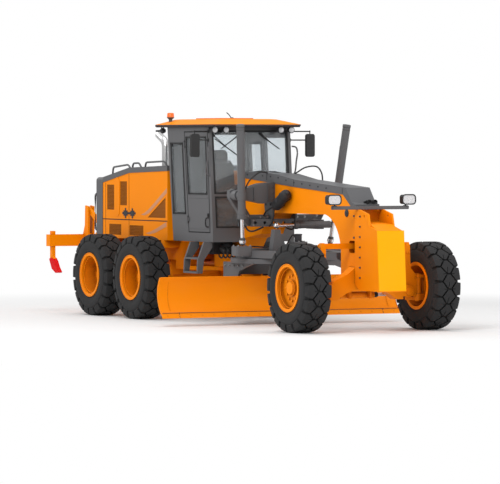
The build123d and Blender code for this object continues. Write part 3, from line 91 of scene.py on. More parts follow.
def makePaintFilm():
    group, given, leave = newGroup(
        "paintFilm", {"Color": (1, 1, 1, 1), "Dust Color": (0.4, 0.35, 0.3, 1), "Dust": 0.1, "Variation": 0.06,
                      "Roughness": 0.35}, ("Color", "Roughness", "Height"))
    place = addNode(group, "TexCoord").outputs["Object"]
    broad = addNode(group, "TexNoise", {"Vector": place, "Scale": paintDust["patch"], "Detail": 4})
    peel = addNode(group, "TexNoise", {"Vector": place, "Scale": paintDust["peel"], "Detail": 2})
    # dust gathers low down
    height = addNode(group, "SeparateXYZ", {"Vector": place}).outputs["Z"]
    low = addNode(group, "MapRange",
                  {"Value": height, "From Min": paintDust["top"], "From Max": paintDust["bottom"]})
    patch = addNode(group, "MapRange", {"Value": broad, "From Min": 0.35, "From Max": 0.75})
    dust = multiply(group, multiply(group, patch, low), given["Dust"])
    darkest = addNode(group, "Math", {0: 1.0, 1: given["Variation"]}, operation="SUBTRACT")
    value = addNode(group, "MapRange", {"Value": broad, "To Min": darkest, "To Max": 1.0})
    tint = addNode(group, "HueSaturation", {"Value": value, "Color": given["Color"]})
    mixed = addNode(group, "Mix", {"Factor": dust, "A": tint, "B": given["Dust Color"]}, data_type="RGBA")
    rough = addNode(group, "Math", {0: dust, 1: 0.5, 2: given["Roughness"]}, operation="MULTIPLY_ADD")
    setInputs(group, leave, {"Color": mixed, "Roughness": rough, "Height": peel})
    return group


def makeScuffs():
    group, given, leave = newGroup(
        "scuffs", {"Color": (1, 1, 1, 1), "Scuff Color": (0.5, 0.5, 0.5, 1), "Amount": 0.3, "Scale": 12.0,
                   "Roughness": 0.5}, ("Color", "Roughness", "Height"))
    place = addNode(group, "TexCoord").outputs["Object"]
    grain = addNode(group, "TexNoise", {"Vector": place, "Scale": given["Scale"], "Detail": 6, "Roughness": 0.7})
    rise = addNode(group, "MapRange", {"Value": grain, "From Min": 0.5, "From Max": 0.72})
    amount = multiply(group, rise, given["Amount"])
    mixed = addNode(group, "Mix", {"Factor": amount, "A": given["Color"], "B": given["Scuff Color"]},
                    data_type="RGBA")
    rough = addNode(group, "Math", {0: grain, 1: 0.25, 2: given["Roughness"]}, operation="MULTIPLY_ADD")
    setInputs(group, leave, {"Color": mixed, "Roughness": rough, "Height": grain})
    return group


# Painted shade: the colour darkens where ambient occlusion finds recesses, corners and nearby parts, down to Darkest
def makePaintedShade():
    group, given, leave = newGroup("paintedShade", {"Color": (1, 1, 1, 1), "Reach": 0.35, "Darkest": 0.4}, ("Color",))
    hidden = addNode(group, "AmbientOcclusion", {"Distance": given["Reach"]}, samples=6).outputs["AO"]
    shade = addNode(group, "MapRange",
                    {"Value": hidden, "From Min": 0.15, "From Max": 0.85, "To Min": given["Darkest"]})
    tint = addNode(group, "HueSaturation", {"Value": shade, "Color": given["Color"]})
    setInputs(group, leave, {"Color": tint})
    return group


paintFilm = makePaintFilm()
scuffs = makeScuffs()
paintedShade = makePaintedShade()


def startMaterial(name):
    material = bpy.data.materials.new(name)
    material.use_nodes = True
    return material, material.node_tree, material.node_tree.nodes["Principled BSDF"]


def surface(name, group, values, own, reach, darkest, bump, distance):
    material, tree, shader = startMaterial(name)
    look = addNode(tree, "Group", values, node_tree=group).outputs
    # painted shade in recesses darkens every surface's colour
    shade = addNode(tree, "Group", {"Color": look["Color"], "Reach": reach, "Darkest": darkest}, node_tree=paintedShade)
    relief = addNode(tree, "Bump", {"Height": look["Height"], "Strength": bump, "Distance": distance})
    setInputs(tree, shader, {"Base Color": shade, "Roughness": look["Roughness"], "Normal": relief, **own})
    return material


# reach and darkest set the painted shade that darkens each paint's recesses
def paint(name, color, roughness=0.5, dust=0.04, coat=0.03, shine=0.09, reach=0.35, darkest=0.45):
    values = {"Color": (*color, 1), "Dust Color": (*finishes["dust"], 1), "Dust": dust, "Variation": 0.04,
              "Roughness": roughness}
    own = {"Specular IOR Level": shine, "Coat Weight": coat, "Coat Roughness": 0.12}
    return surface(name, paintFilm, values, own, reach, darkest, 0.04, 0.002)


# reach and darkest set the painted shade that darkens the recesses of these finishes
def worn(name, color, scuffColor, amount, scale, roughness, metallic=0.0, bump=0.2, distance=0.003, reach=0.1,
         darkest=0.6):
    values = {"Color": (*color, 1), "Scuff Color": (*scuffColor, 1), "Amount": amount, "Scale": scale,
              "Roughness": roughness}
    return surface(name, scuffs, values, {"Metallic": metallic}, reach, darkest, bump, distance)


def clear(name, color, roughness=0.03, transmission=0.92):
    material, tree, shader = startMaterial(name)
    setInputs(tree, shader, {"Base Color": (*color, 1), "Roughness": roughness, "IOR": 1.25,
                             "Transmission Weight": transmission})
    return material


orangePaint = paint("orangePaint", finishes["orange"])
# painted light: a lighter orange for the counterweight's front face, which the key light strikes head-on
orangePaintedLight = paint("orangePaintedLight", finishes["orangePaintedLight"], shine=0.06)
# rims take deep painted shade, darkest in the wheel dish
rimPaint = paint("rimPaint", finishes["orange"], dust=0.08, reach=0.30, darkest=0.22)
greyPaint = paint("greyPaint", finishes["grey"], roughness=0.42, dust=0.06, coat=0.05, shine=0.25)
greyDark = paint("greyDark", finishes["greyDark"], dust=0.1)
stripePaint = paint("stripePaint", (0.66, 0.30, 0.15), roughness=0.4, coat=0.2)
meshOrange = paint("meshOrange", (0.42, 0.13, 0.01), coat=0.0)
toothRed = paint("toothRed", (0.72, 0.004, 0.006), reach=0.1)
blackPlastic = worn("blackPlastic", (0.012, 0.012, 0.013), (0.03, 0.03, 0.03), 0.4, 60, 0.45, bump=0.15)
sealRubber = worn("sealRubber", (0.010, 0.010, 0.011), (0.03, 0.03, 0.03), 0.3, 90, 0.6)
# tyres take deep painted shade between the tread blocks and in the grooves
tyreRubber = worn("tyreRubber", finishes["rubber"], (0.034, 0.032, 0.030), 0.4, 9, 0.75, reach=0.05, darkest=0.12)
castSteel = worn("castSteel", (0.10, 0.10, 0.105), (0.22, 0.2, 0.18), 0.3, 25, 0.45, metallic=0.6)
boltSteel = worn("boltSteel", (0.3, 0.3, 0.3), (0.5, 0.5, 0.5), 0.4, 60, 0.32, metallic=1.0)
chromeRod = worn("chromeRod", (0.75, 0.75, 0.77), (0.6, 0.6, 0.6), 0.2, 40, 0.06, metallic=1.0, bump=0.02)
stackSteel = worn("stackSteel", (0.72, 0.72, 0.72), (0.5, 0.47, 0.42), 0.3, 14, 0.2, metallic=1.0, bump=0.05)
seatCloth = worn("seatCloth", (0.018, 0.018, 0.02), (0.05, 0.05, 0.055), 0.7, 420, 0.8, bump=0.5, distance=0.001)
hoseRubber = worn("hoseRubber", (0.012, 0.012, 0.012), (0.04, 0.04, 0.04), 0.4, 120, 0.5)
mirrorGlass = worn("mirrorGlass", (0.8, 0.8, 0.82), (0.7, 0.7, 0.7), 0.1, 5, 0.02, metallic=1.0, bump=0.0)
lampShine = worn("lampShine", (0.50, 0.50, 0.51), (0.40, 0.40, 0.40), 0.3, 40, 0.2, metallic=0.6, bump=0.0)
lensPale = worn("lensPale", (0.62, 0.62, 0.63), (0.48, 0.48, 0.50), 0.5, 55, 0.15, metallic=0.2, bump=0.3)
amberLens = worn("amberLens", (0.95, 0.16, 0.01), (1.0, 0.3, 0.05), 0.4, 60, 0.2)
redLens = worn("redLens", (0.6, 0.01, 0.01), (0.8, 0.05, 0.03), 0.4, 60, 0.2)
cabGlass = clear("cabGlass", (0.80, 0.84, 0.86))
print("finishes made")

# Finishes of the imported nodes
nodeFinish = (
    (orangePaint, "chassis_rear rear_axle hood ripper_lower_link ripper_upper_link ripper_beam ripper_shanks "
                  "front_frame counterweight front_axle cab_roof lean_bar moldboard lean_bracket_* knuckle_*"),
    (greyPaint, "hood_cover radiator_surround hood_rails frame_cover saddle cab_shell steps drawbar circle "
                "shift_barrel door_* lift_barrel_*"),
    (greyDark, "hydraulic_unit blade_carrier"),
    (rimPaint, "rim_rear_* rim_middle_* rim_front_*"),
    (castSteel, "engine drawbar_swivel"),
    (stackSteel, "exhaust"),
    (blackPlastic, "console mirrors head_lamps"),
    (chromeRod, "tie_rod shift_rod lift_rod_*"),
    (cabGlass, "cab_glass door_glass_*"),
)
softEdge = {"width": 0.006, "segments": 2, "angle": 32}
plainEdges = ("cab_glass", "door_glass", "drawbar_swivel", "exhaust", "hood_rails", "rim_", "lift_rod", "shift_rod")
for finish, names in nodeFinish:
    for name in sorted({n.replace("*", hand) for n in names.split() for hand, side in sides}):
        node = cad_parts[name]
        node.data.materials.clear()
        node.data.materials.append(finish)
        if name.startswith(plainEdges):
            continue
        bevel = node.modifiers.new("softEdge", "BEVEL")
        bevel.width = softEdge["width"]
        bevel.segments = softEdge["segments"]
        bevel.limit_method = "ANGLE"
        bevel.angle_limit = math.radians(softEdge["angle"])
        bevel.harden_normals = True
print("packed nodes finished")


# Mesh work
def addObject(name, data):
    made = bpy.data.objects.new(name, data)
    bpy.context.scene.collection.objects.link(made)
    return made


def finishMesh(work, name, finish, smoothAngle):
    mesh = bpy.data.meshes.new(name)
    bmesh.ops.recalc_face_normals(work, faces=work.faces)
    work.to_mesh(mesh)
    work.free()
    for polygon in mesh.polygons:
        polygon.use_smooth = True
    mesh.set_sharp_from_angle(angle=math.radians(smoothAngle))
    mesh.materials.append(finish)
    return mesh


def finishPiece(work, name, finish, body="front_frame", smoothAngle=35):
    piece = addObject(name, finishMesh(work, name, finish, smoothAngle))
    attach(piece, body)
    return piece


def circle(count, shift=0.0):
    return [(math.cos(a), math.sin(a)) for a in (2 * math.pi * (i + shift) / count for i in range(count))]


def spread(low, high, count):
    return [low + k * (high - low) / count for k in range(count + 1)]


def roundEdges(work, faces, width, segments=2):
    edges = [e for e in {e for f in faces for e in f.edges}
             if len(e.link_faces) == 2 and e.calc_face_angle(0) > 0.5]
    if edges and width > 0:
        bmesh.ops.bevel(work, geom=edges, offset=width, segments=segments, affect="EDGES", clamp_overlap=True)


def box(work, shape, bevel, segments=2):
    made = bmesh.ops.create_cube(work, size=1)
    bmesh.ops.transform(work, matrix=shape, verts=made["verts"])
    roundEdges(work, {f for v in made["verts"] for f in v.link_faces}, bevel, segments)


def block(work, low, high, bevel=0.004, turn=None):
    low, high = (Vector(corner) for corner in zip(*(sorted(pair) for pair in zip(low, high))))
    box(work, Matrix.Translation((low + high) / 2) @ (turn or Matrix.Identity(4))
        @ Matrix.Diagonal((*(high - low), 1)), bevel)


def skin(work, rings, capped=True):
    for a, b in zip(rings, rings[1:]):
        for i in range(len(a)):
            j = (i + 1) % len(a)
            work.faces.new((a[i], a[j], b[j], b[i]))
    if capped:
        work.faces.new(list(reversed(rings[0])))
        work.faces.new(rings[-1])


def plate(work, points, axis, start, end, bevel=0.003):
    order = {"x": (1, 2, 0), "y": (0, 2, 1), "z": (0, 1, 2)}[axis]

    def corner(point, depth):
        spot = [0, 0, 0]
        spot[order[0]], spot[order[1]], spot[order[2]] = point[0], point[1], depth
        return work.verts.new(spot)

    near = [corner(p, start) for p in points]
    far = [corner(p, end) for p in points]
    faces = [work.faces.new(near), work.faces.new(list(reversed(far)))]
    for i in range(len(points)):
        j = (i + 1) % len(points)
        faces.append(work.faces.new((near[j], near[i], far[i], far[j])))
    roundEdges(work, faces, bevel)


def ringAround(work, point, direction, radius, count, up=None):
    direction = direction.normalized()
    side = direction.cross(up or Vector((0, 0, 1)))
    if side.length < 0.05:
        side = direction.cross(Vector((0, 1, 0)))
    side.normalize()
    top = side.cross(direction)
    return [work.verts.new(point + radius * (c * side + s * top)) for c, s in circle(count)]


def turned(work, start, direction, profile, count=24):
    direction = Vector(direction).normalized()
    skin(work, [ringAround(work, Vector(start) + direction * along, direction, max(radius, 1e-5), count)
                for along, radius in profile])


def hoop(work, centre, radius, thick, across, up, axis, steps, count):
    path = [Vector(centre) + radius * (c * Vector(across) + s * Vector(up)) for c, s in circle(steps)]
    rings = [ringAround(work, p, path[(i + 1) % steps] - path[i - 1], thick, count, Vector(axis))
             for i, p in enumerate(path)]
    skin(work, rings + rings[:1], False)


def smoothPath(points, steps=8):
    points = [Vector(p) for p in points]
    if len(points) < 3:
        return points
    ends = [2 * points[0] - points[1]] + points + [2 * points[-1] - points[-2]]
    path = []
    for a, b, c, d in zip(ends, ends[1:], ends[2:], ends[3:]):
        for i in range(steps):
            t = i / steps
            path.append(0.5 * (2 * b + (c - a) * t + (2 * a - 5 * b + 4 * c - d) * t * t
                               + (3 * b - a - 3 * c + d) * t ** 3))
    return path + [points[-1]]


def tube(work, points, radius, count=10, smooth=False):
    path = smoothPath(points) if smooth else [Vector(p) for p in points]
    rings = []
    for i, point in enumerate(path):
        before = point - path[i - 1] if i else path[1] - point
        after = path[i + 1] - point if i < len(path) - 1 else before
        rings.append(ringAround(work, point, before.normalized() + after.normalized(), radius, count))
    skin(work, rings)


def roundedRun(points, radius):
    points = [Vector(p) for p in points]
    path = [points[0]]
    for before, corner, after in zip(points, points[1:], points[2:]):
        back, ahead = (before - corner).normalized(), (after - corner).normalized()
        for t in (0, 0.25, 0.5, 0.75, 1):
            path.append(corner + back * radius * (1 - t) ** 2 + ahead * radius * t ** 2)
    return path + [points[-1]]


def bolts(work, spots, normal, across=0.024, tall=0.012):
    for spot in spots:
        turned(work, spot, normal, [(-0.002, across * 0.85), (0.003, across * 0.85)], 16)
        turned(work, Vector(spot) + Vector(normal).normalized() * 0.003, normal,
               [(0, across * 0.56), (tall * 0.85, across * 0.56), (tall, across * 0.5)], 6)


def roundedRect(width, height, radius, steps=5, middle=(0, 0)):
    points = []
    for cornerX, cornerY, start in ((1, 1, 0), (-1, 1, 1), (-1, -1, 2), (1, -1, 3)):
        for i in range(steps + 1):
            a = math.pi / 2 * (start + i / steps)
            points.append((middle[0] + cornerX * (width / 2 - radius) + radius * math.cos(a),
                           middle[1] + cornerY * (height / 2 - radius) + radius * math.sin(a)))
    return points


def strip(work, start, end, normal, width, height, bevel=0.0):
    start, end, normal = Vector(start), Vector(end), Vector(normal).normalized()
    along = end - start
    side = along.normalized().cross(normal).normalized()
    shape = Matrix((along, side * width, normal * height)).transposed().to_4x4()
    shape.translation = (start + end) / 2 + normal * height / 2
    box(work, shape, bevel, 1)


def stripRing(work, points, normal, width, height):
    points = [Vector(p) for p in points]
    for a, b in zip(points, points[1:] + points[:1]):
        reach = (b - a).normalized() * width / 2
        strip(work, a - reach, b + reach, normal, width, height)


# Camera
camera = {"place": (56.232, -29.534, 2.858), "pitch": 88.5684, "heading": 62.144, "lens": 282.636}
view = bpy.data.cameras.new("photoCamera")
view.sensor_width = 36
view.lens = camera["lens"]
view.clip_end = 400
lens = addObject("photoCamera", view)
lens.location = camera["place"]
lens.rotation_euler = (math.radians(camera["pitch"]), 0, math.radians(camera["heading"]))
bpy.context.scene.camera = lens
print("camera placed")

# Tyres
tyre = {"pitches": 18, "groove": 0.026, "sipe": 0.010, "row": 0.150, "point": 0.80, "gap": 0.026, "edge": 0.303,
        "steps": 96, "turn": {"rear": 0.05, "middle": 0.13, "front": 0.05}}
# across the tread's surface, then half width and radius there
treadTop = [(0, 0, 0.678), (0.10, 0.10, 0.6775), (0.165, 0.165, 0.675), (0.198, 0.197, 0.664),
            (0.235, 0.208, 0.628), (0.270, 0.2155, 0.594), (0.305, 0.2215, 0.560)]
treadBase = [(0, 0, 0.645), (0.10, 0.10, 0.644), (0.165, 0.152, 0.640), (0.198, 0.170, 0.628),
             (0.235, 0.180, 0.600), (0.270, 0.194, 0.568), (0.305, 0.2135, 0.545)]
tyreWall = [(0.195, 0.331), (0.1965, 0.372), (0.203, 0.385), (0.2095, 0.40), (0.2085, 0.408), (0.216, 0.43),
            (0.2205, 0.47), (0.2215, 0.50), (0.2200, 0.506), (0.2205, 0.512), (0.2160, 0.54)]


def onTable(table, s):
    s = abs(s)
    for (a, ya, ra), (b, yb, rb) in zip(table, table[1:]):
        if s <= b:
            t = (s - a) / (b - a)
            return ya + t * (yb - ya), ra + t * (rb - ra)
    return table[-1][1], table[-1][2]


def treadPoint(u, s, h):
    topY, topR = onTable(treadTop, s)
    baseY, baseR = onTable(treadBase, s)
    y = baseY + h * (topY - baseY)
    r = baseR + h * (topR - baseR)
    angle = 2 * math.pi * u / tyre["pitches"]
    return Vector((r * math.sin(angle), math.copysign(y, s) if s else 0, r * math.cos(angle)))


def inset(points, gap):
    lines = []
    for a, b in zip(points, points[1:] + points[:1]):
        along = (Vector(b) - Vector(a)).normalized()
        lines.append((Vector(a) + Vector((-along.y, along.x)) * gap, along))
    result = []
    for (p, d), (q, e) in zip(lines[-1:] + lines, lines):
        cross = d.x * e.y - d.y * e.x
        result.append(p + d * (((q - p).x * e.y - (q - p).y * e.x) / cross))
    return result


def treadBlock(work, points, reach):
    middle = sum((Vector(p) for p in points), Vector((0, 0))) / len(points)
    start = Vector(points[0])
    area = sum(p[0] * q[1] - q[0] * p[1] for p, q in zip(points, points[1:] + points[:1]))
    shrunk = inset(points if area > 0 else points[::-1], tyre["groove"] / 2)
    # a short sipe runs in from one corner towards the block's middle
    first = min(range(len(shrunk)), key=lambda i: (shrunk[i] - start).length)
    shrunk = shrunk[first:] + shrunk[:first]
    corner = shrunk[0]
    along = (middle - corner).normalized()
    across = Vector((-along.y, along.x)) * tyre["sipe"] / 2
    tip = corner + along * (middle - corner).length * reach
    before, after = (corner + (other - corner).normalized() * 0.006 for other in (shrunk[-1], shrunk[1]))
    end = sorted((tip - across, tip + across), key=lambda p: (p - before).length)
    ring = [before, *end, after, *shrunk[1:]]
    bottom, top = ([work.verts.new((p.x, p.y, h)) for p in ring] for h in (-0.2, 1.0))
    lid = work.faces.new(top)
    skin(work, [bottom, top], False)
    lid.normal_update()


def makeTyreMesh():
    work = bmesh.new()
    pitch = 2 * math.pi * wheel["z"] / tyre["pitches"]
    half, step, gap = pitch / 2, tyre["row"], tyre["gap"]
    point = tyre["point"] * step
    flat = step - point
    treadBlock(work, [(half, -flat), (half, flat), (0, point), (-half, flat), (-half, -flat), (0, -point)], 0.9)
    for end in (-1, 1):
        # the groove between two shoulder lugs widens outwards, which notches the tyre's outline
        inner, outer, edge = end * flat, end * point, end * tyre["edge"]
        lug = [(half, inner), (2 * half, outer), (2 * half - gap, edge), (gap, edge), (0, outer)]
        treadBlock(work, lug, 0.42)
    cuts = [((0, s * k, 0), (0, 1, 0)) for k, y, r in treadTop[1:-1] for s in (-1, 1)] + [((0, 0, 0), (0, 1, 0))]
    cuts += [((pitch * k / 8, 0, 0), (1, 0, 0)) for k in range(-4, 9)]
    for spot, normal in cuts:
        bmesh.ops.bisect_plane(work, geom=work.verts[:] + work.edges[:] + work.faces[:],
                               plane_co=spot, plane_no=normal)
    for vert in work.verts:
        vert.co = treadPoint(vert.co.x / pitch, vert.co.y, vert.co.z)
    pattern = work.verts[:] + work.edges[:] + work.faces[:]
    for k in range(1, tyre["pitches"]):
        copy = bmesh.ops.duplicate(work, geom=pattern)
        verts = [g for g in copy["geom"] if isinstance(g, bmesh.types.BMVert)]
        bmesh.ops.rotate(work, verts=verts, cent=(0, 0, 0),
                         matrix=Matrix.Rotation(2 * math.pi * k / tyre["pitches"], 3, "Y"))
    half = tyreWall + [(y, r) for s, y, r in treadBase[:0:-1]]
    profile = [(-y, r) for y, r in half] + [treadBase[0][1:]] + half[::-1]
    rings = [[work.verts.new((r * s, y, r * c)) for y, r in profile] for c, s in circle(tyre["steps"])]
    skin(work, rings + rings[:1], False)
    return finishMesh(work, "tyreMesh", tyreRubber, 28)


tyreMesh = makeTyreMesh()
for place, station in wheel["stations"].items():
    for hand, side in sides:
        cover = addObject(f"tread_{place}_{hand}", tyreMesh.copy())
        cover.data.transform(Matrix.Translation((station, side * wheel["trackHalf"], wheel["z"]))
                             @ Matrix.Rotation(tyre["turn"][place], 4, "Y"))
        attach(cover, f"wheel_{place}_{hand}")
        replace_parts(cover, f"tyre_{place}_{hand}")
print("tyres made:", len(tyreMesh.polygons), "faces each")

# Rims
rearHub = {"dish": -0.060, "profile": [(0, 0.14), (0.010, 0.14), (0.014, 0.125), (0.070, 0.112), (0.082, 0.095),
                                       (0.084, 0.001)]}
frontHub = {"dish": 0.095, "profile": [(0, 0.125), (0.010, 0.125), (0.014, 0.108), (0.050, 0.102), (0.062, 0.092),
                                       (0.064, 0.04), (0.068, 0.036), (0.068, 0.001)]}
rimTrim = {"nuts": 12, "nutRing": 0.19, "mouth": 0.209, "rings": ((0.362, 0.0015), (0.333, -0.02), (0.300, -0.045))}
for place, station in wheel["stations"].items():
    for hand, side in sides:
        work = bmesh.new()
        hub = frontHub if place == "front" else rearHub
        face = side * (wheel["trackHalf"] + hub["dish"] + 0.012)
        # lock ring and bead seat rings at the rim's mouth
        for radius, lift in rimTrim["rings"]:
            spot = (station, side * (wheel["trackHalf"] + rimTrim["mouth"] + lift), wheel["z"])
            hoop(work, spot, radius, 0.006, (0, 0, 1), (1, 0, 0), (0, 1, 0), 64, 8)
        bolts(work, [(station + rimTrim["nutRing"] * s, face, wheel["z"] + rimTrim["nutRing"] * c)
                     for c, s in circle(rimTrim["nuts"])], (0, side, 0), 0.030, 0.020)
        turned(work, (station, face, wheel["z"]), (0, side, 0), hub["profile"], 40)
        finishPiece(work, f"rim_trim_{place}_{hand}", rimPaint, f"wheel_{place}_{hand}")
print("rims trimmed")

# Hood
hood = {"half": 0.65, "rear": -3.755, "bend": -2.74, "front": -1.32, "slat": 0.022, "slatWide": 0.011,
        "grilles": ((-3.59, -3.32, 1.75, 2.17), (-3.09, -2.83, 1.83, 2.23), (-3.51, -3.05, 1.33, 1.51),
                    (-2.73, -2.21, 1.33, 1.50)),
        "corner": [(-2.05, 1.64), (-1.39, 1.64), (-1.39, 1.98)], "cornerSlats": 15, "latches": (-2.88, -2.62),
        "bulge": {"x": -3.20, "radius": 0.09, "low": 1.73, "high": 2.21}}
# face seams: rear, front, low, high
seams = ((hood["rear"], hood["front"], 1.583, 1.597), (-2.753, -2.747, 1.28, 2.36), (-3.65, -3.644, 1.28, 2.2))
bands = (
    [(-2.30, 1.685), (-2.18, 1.71), (-2.02, 1.77), (-1.80, 1.885), (-1.34, 2.135), (-1.34, 2.055), (-1.80, 1.815),
     (-2.00, 1.715), (-2.16, 1.672)],
    [(-2.12, 1.378), (-1.95, 1.405), (-1.75, 1.455), (-1.36, 1.575), (-1.36, 1.500), (-1.75, 1.395), (-1.98, 1.360)],
)
work, seamWork, bulgeWork, latchWork, bandWork = (bmesh.new() for k in range(5))
for hand, side in sides:
    face, back, deep = (side * (hood["half"] - depth) for depth in (0.004, 0.012, 0.016))
    for rear, front, low, high in hood["grilles"]:
        block(work, (rear, back, low), (front, deep, high), 0)
        count = int((high - low) / hood["slat"])
        for i in range(count):
            z = low + (i + 0.5) * (high - low) / count
            block(work, (rear, face, z - hood["slatWide"] / 2), (front, back, z + hood["slatWide"] / 2), 0)
        for x in spread(rear, front, int((front - rear) / (hood["slat"] * 2))):
            block(work, (x - 0.003, face, low), (x + 0.003, back, high), 0)
    (rear, low), (front, low), (front, high) = hood["corner"]
    plate(work, hood["corner"], "y", back, deep, 0)
    for i in range(hood["cornerSlats"]):
        z = low + 0.005 + i * hood["slat"]
        block(work, (rear + (z - low) / (high - low) * (front - rear), face, z), (front, back, z + hood["slatWide"]), 0)
    face = side * hood["half"]
    for rear, front, low, high in seams:
        block(seamWork, (rear, face, low), (front, face + side * 0.003, high), 0)
    bulge = hood["bulge"]
    outline = [(bulge["x"] + bulge["radius"] * math.cos(a), z + bulge["radius"] * math.sin(a))
               for z, start in ((bulge["high"], 0), (bulge["low"], math.pi))
               for a in spread(start, start + math.pi, 16)]
    plate(bulgeWork, outline, "y", face - side * 0.001, face + side * 0.006, 0.004)
    for x in hood["latches"]:
        block(latchWork, (x - 0.075, face, 1.655), (x + 0.075, face + side * 0.007, 1.745), 0.003)
        for dx, z, radius in ((0, 1.635, 0.022), (0, 1.765, 0.022), (-0.10, 1.70, 0.020), (0.10, 1.70, 0.020)):
            turned(latchWork, (x + dx, face, z), (0, side, 0),
                   [(0, radius), (0.006, radius), (0.007, radius - 0.006)], 16)
    for points in bands:
        plate(bandWork, points, "y", face, face + side * 0.002, 0)
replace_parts(finishPiece(work, "hood_mesh", meshOrange, "rear_frame"), "hood_grilles")
finishPiece(seamWork, "hood_seams", sealRubber, "rear_frame")
finishPiece(bulgeWork, "hood_bulge", orangePaint, "rear_frame", 60)
finishPiece(latchWork, "hood_latches", greyDark, "rear_frame")
finishPiece(bandWork, "hood_stripes", stripePaint, "rear_frame")
print("hood dressed")

# Ripper teeth
tooth = {"stations": (-1.06, 0.0, 1.06), "half": 0.044, "pin": (-4.790, 0.835),
         "outline": [(-4.945, 0.885), (-4.900, 0.905), (-4.830, 0.905), (-4.760, 0.850), (-4.720, 0.790),
                     (-4.690, 0.750), (-4.600, 0.665), (-4.635, 0.655), (-4.690, 0.650), (-4.845, 0.722)]}
work = bmesh.new()
for y in tooth["stations"]:
    plate(work, tooth["outline"], "y", y - tooth["half"], y + tooth["half"], 0.008)
    turned(work, (tooth["pin"][0], y - tooth["half"] - 0.004, tooth["pin"][1]), (0, 1, 0),
           [(0, 0.012), (2 * tooth["half"] + 0.008, 0.012)], 14)
finishPiece(work, "ripper_teeth", toothRed, "ripper")

# Rails on the hood and at its back
rails = {"radius": 0.016, "y": 0.605, "rearY": 0.640, "rearX": -4.075, "foot": -3.985, "low": 1.40, "high": 2.01,
         "runs": ((-3.47, -2.78, 0.125, 0.070), (-2.71, -2.37, 0.070, 0.070), (-2.23, -1.42, 0.075, 0.075))}


def coverTop(x):
    if x < hood["bend"]:
        return 2.293 + 0.170 * (x - hood["rear"]) / (hood["bend"] - hood["rear"])
    return 2.463 + 0.040 * (x - hood["bend"]) / (hood["front"] - hood["bend"])


work = bmesh.new()
for hand, side in sides:
    y = side * rails["y"]
    for start, end, rearRise, frontRise in rails["runs"]:
        stations = ((start, start, -0.01), (start + 0.025, start, rearRise), (end - 0.09, end - 0.09, frontRise),
                    (end, end, -0.01))
        corners = [(x, y, coverTop(under) + rise) for x, under, rise in stations]
        tube(work, roundedRun(corners, 0.05), rails["radius"])
    y = side * rails["rearY"]
    corners = [(rails[x], y, rails[z]) for x, z in
               (("foot", "high"), ("rearX", "high"), ("rearX", "low"), ("foot", "low"))]
    tube(work, roundedRun(corners, 0.06), rails["radius"])
    for z in (rails["high"], rails["low"]):
        turned(work, (-3.994, y, z), (-1, 0, 0), [(0, 0.026), (0.006, 0.026)], 16)
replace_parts(finishPiece(work, "hood_rail_tubes", greyPaint, "rear_frame"), "hood_rails")

# Radiator mesh and tail lamps
radiator = {"x": -3.935, "half": 0.565, "low": 1.40, "high": 2.19, "rows": 18, "columns": 26}
work = bmesh.new()
back, half, low, high = radiator["x"] + 0.012, radiator["half"], radiator["low"], radiator["high"]
block(work, (back, -half, low), (back + 0.006, half, high), 0)
for z in spread(low, high, radiator["rows"]):
    block(work, (radiator["x"], -half, z - 0.005), (back, half, z + 0.005), 0)
for y in spread(-half, half, radiator["columns"]):
    block(work, (radiator["x"], y - 0.005, low), (back, y + 0.005, high), 0)
finishPiece(work, "radiator_mesh", blackPlastic, "rear_frame")
tailLamp = {"y": 0.612, "half": 0.036, "low": 2.055, "high": 2.215, "lenses": (2.095, 2.172)}
work, lensWork = bmesh.new(), bmesh.new()
for hand, side in sides:
    y = side * tailLamp["y"]
    block(work, (-4.012, y - tailLamp["half"], tailLamp["low"]), (-3.994, y + tailLamp["half"], tailLamp["high"]), 0.006)
    for z in tailLamp["lenses"]:
        turned(lensWork, (-4.012, y, z), (-1, 0, 0), [(0, 0.027), (0.010, 0.026), (0.014, 0.018), (0.015, 0.001)], 20)
finishPiece(work, "tail_lamp_housings", blackPlastic, "rear_frame")
finishPiece(lensWork, "tail_lamps", redLens, "rear_frame")

# Step treads and the pump's hoses under the cab
treads = {"levels": ((0.815, 0.925), (1.040, 0.905)), "bars": 15, "start": -0.070, "pitch": 0.028}
work = bmesh.new()
for hand, side in sides:
    for z, y in treads["levels"]:
        for k in range(treads["bars"]):
            x = treads["start"] + k * treads["pitch"]
            block(work, (x, side * y - 0.040, z - 0.001), (x + 0.010, side * y + 0.040, z + 0.005), 0)
finishPiece(work, "step_treads", greyPaint)
pump = {"hoses": (-0.30, -0.375, -0.45, -0.525), "radius": 0.013}
work = bmesh.new()
for y in pump["hoses"]:
    turned(work, (0.345, y, 1.18), (1, 0, 0), [(0, 0.026), (0.02, 0.026), (0.024, 0.018), (0.05, 0.018)], 14)
    tube(work, [(0.385, y, 1.18), (0.425, y, 1.17), (0.445, y, 1.12), (0.415, y, 1.06), (0.345, y + 0.01, 1.03),
                (0.26, y + 0.02, 1.05), (0.23, y + 0.02, 1.09)], pump["radius"], 8, True)
turned(work, (0.10, -0.60, 1.17), (0, -1, 0), [(0, 0.075), (0.01, 0.080), (0.12, 0.080), (0.135, 0.070), (0.14, 0.03)])
turned(work, (-0.03, -0.60, 1.16), (0, -1, 0), [(0, 0.045), (0.09, 0.045), (0.10, 0.035)], 20)
finishPiece(work, "pump_hoses", hoseRubber)
print("rear dressed")

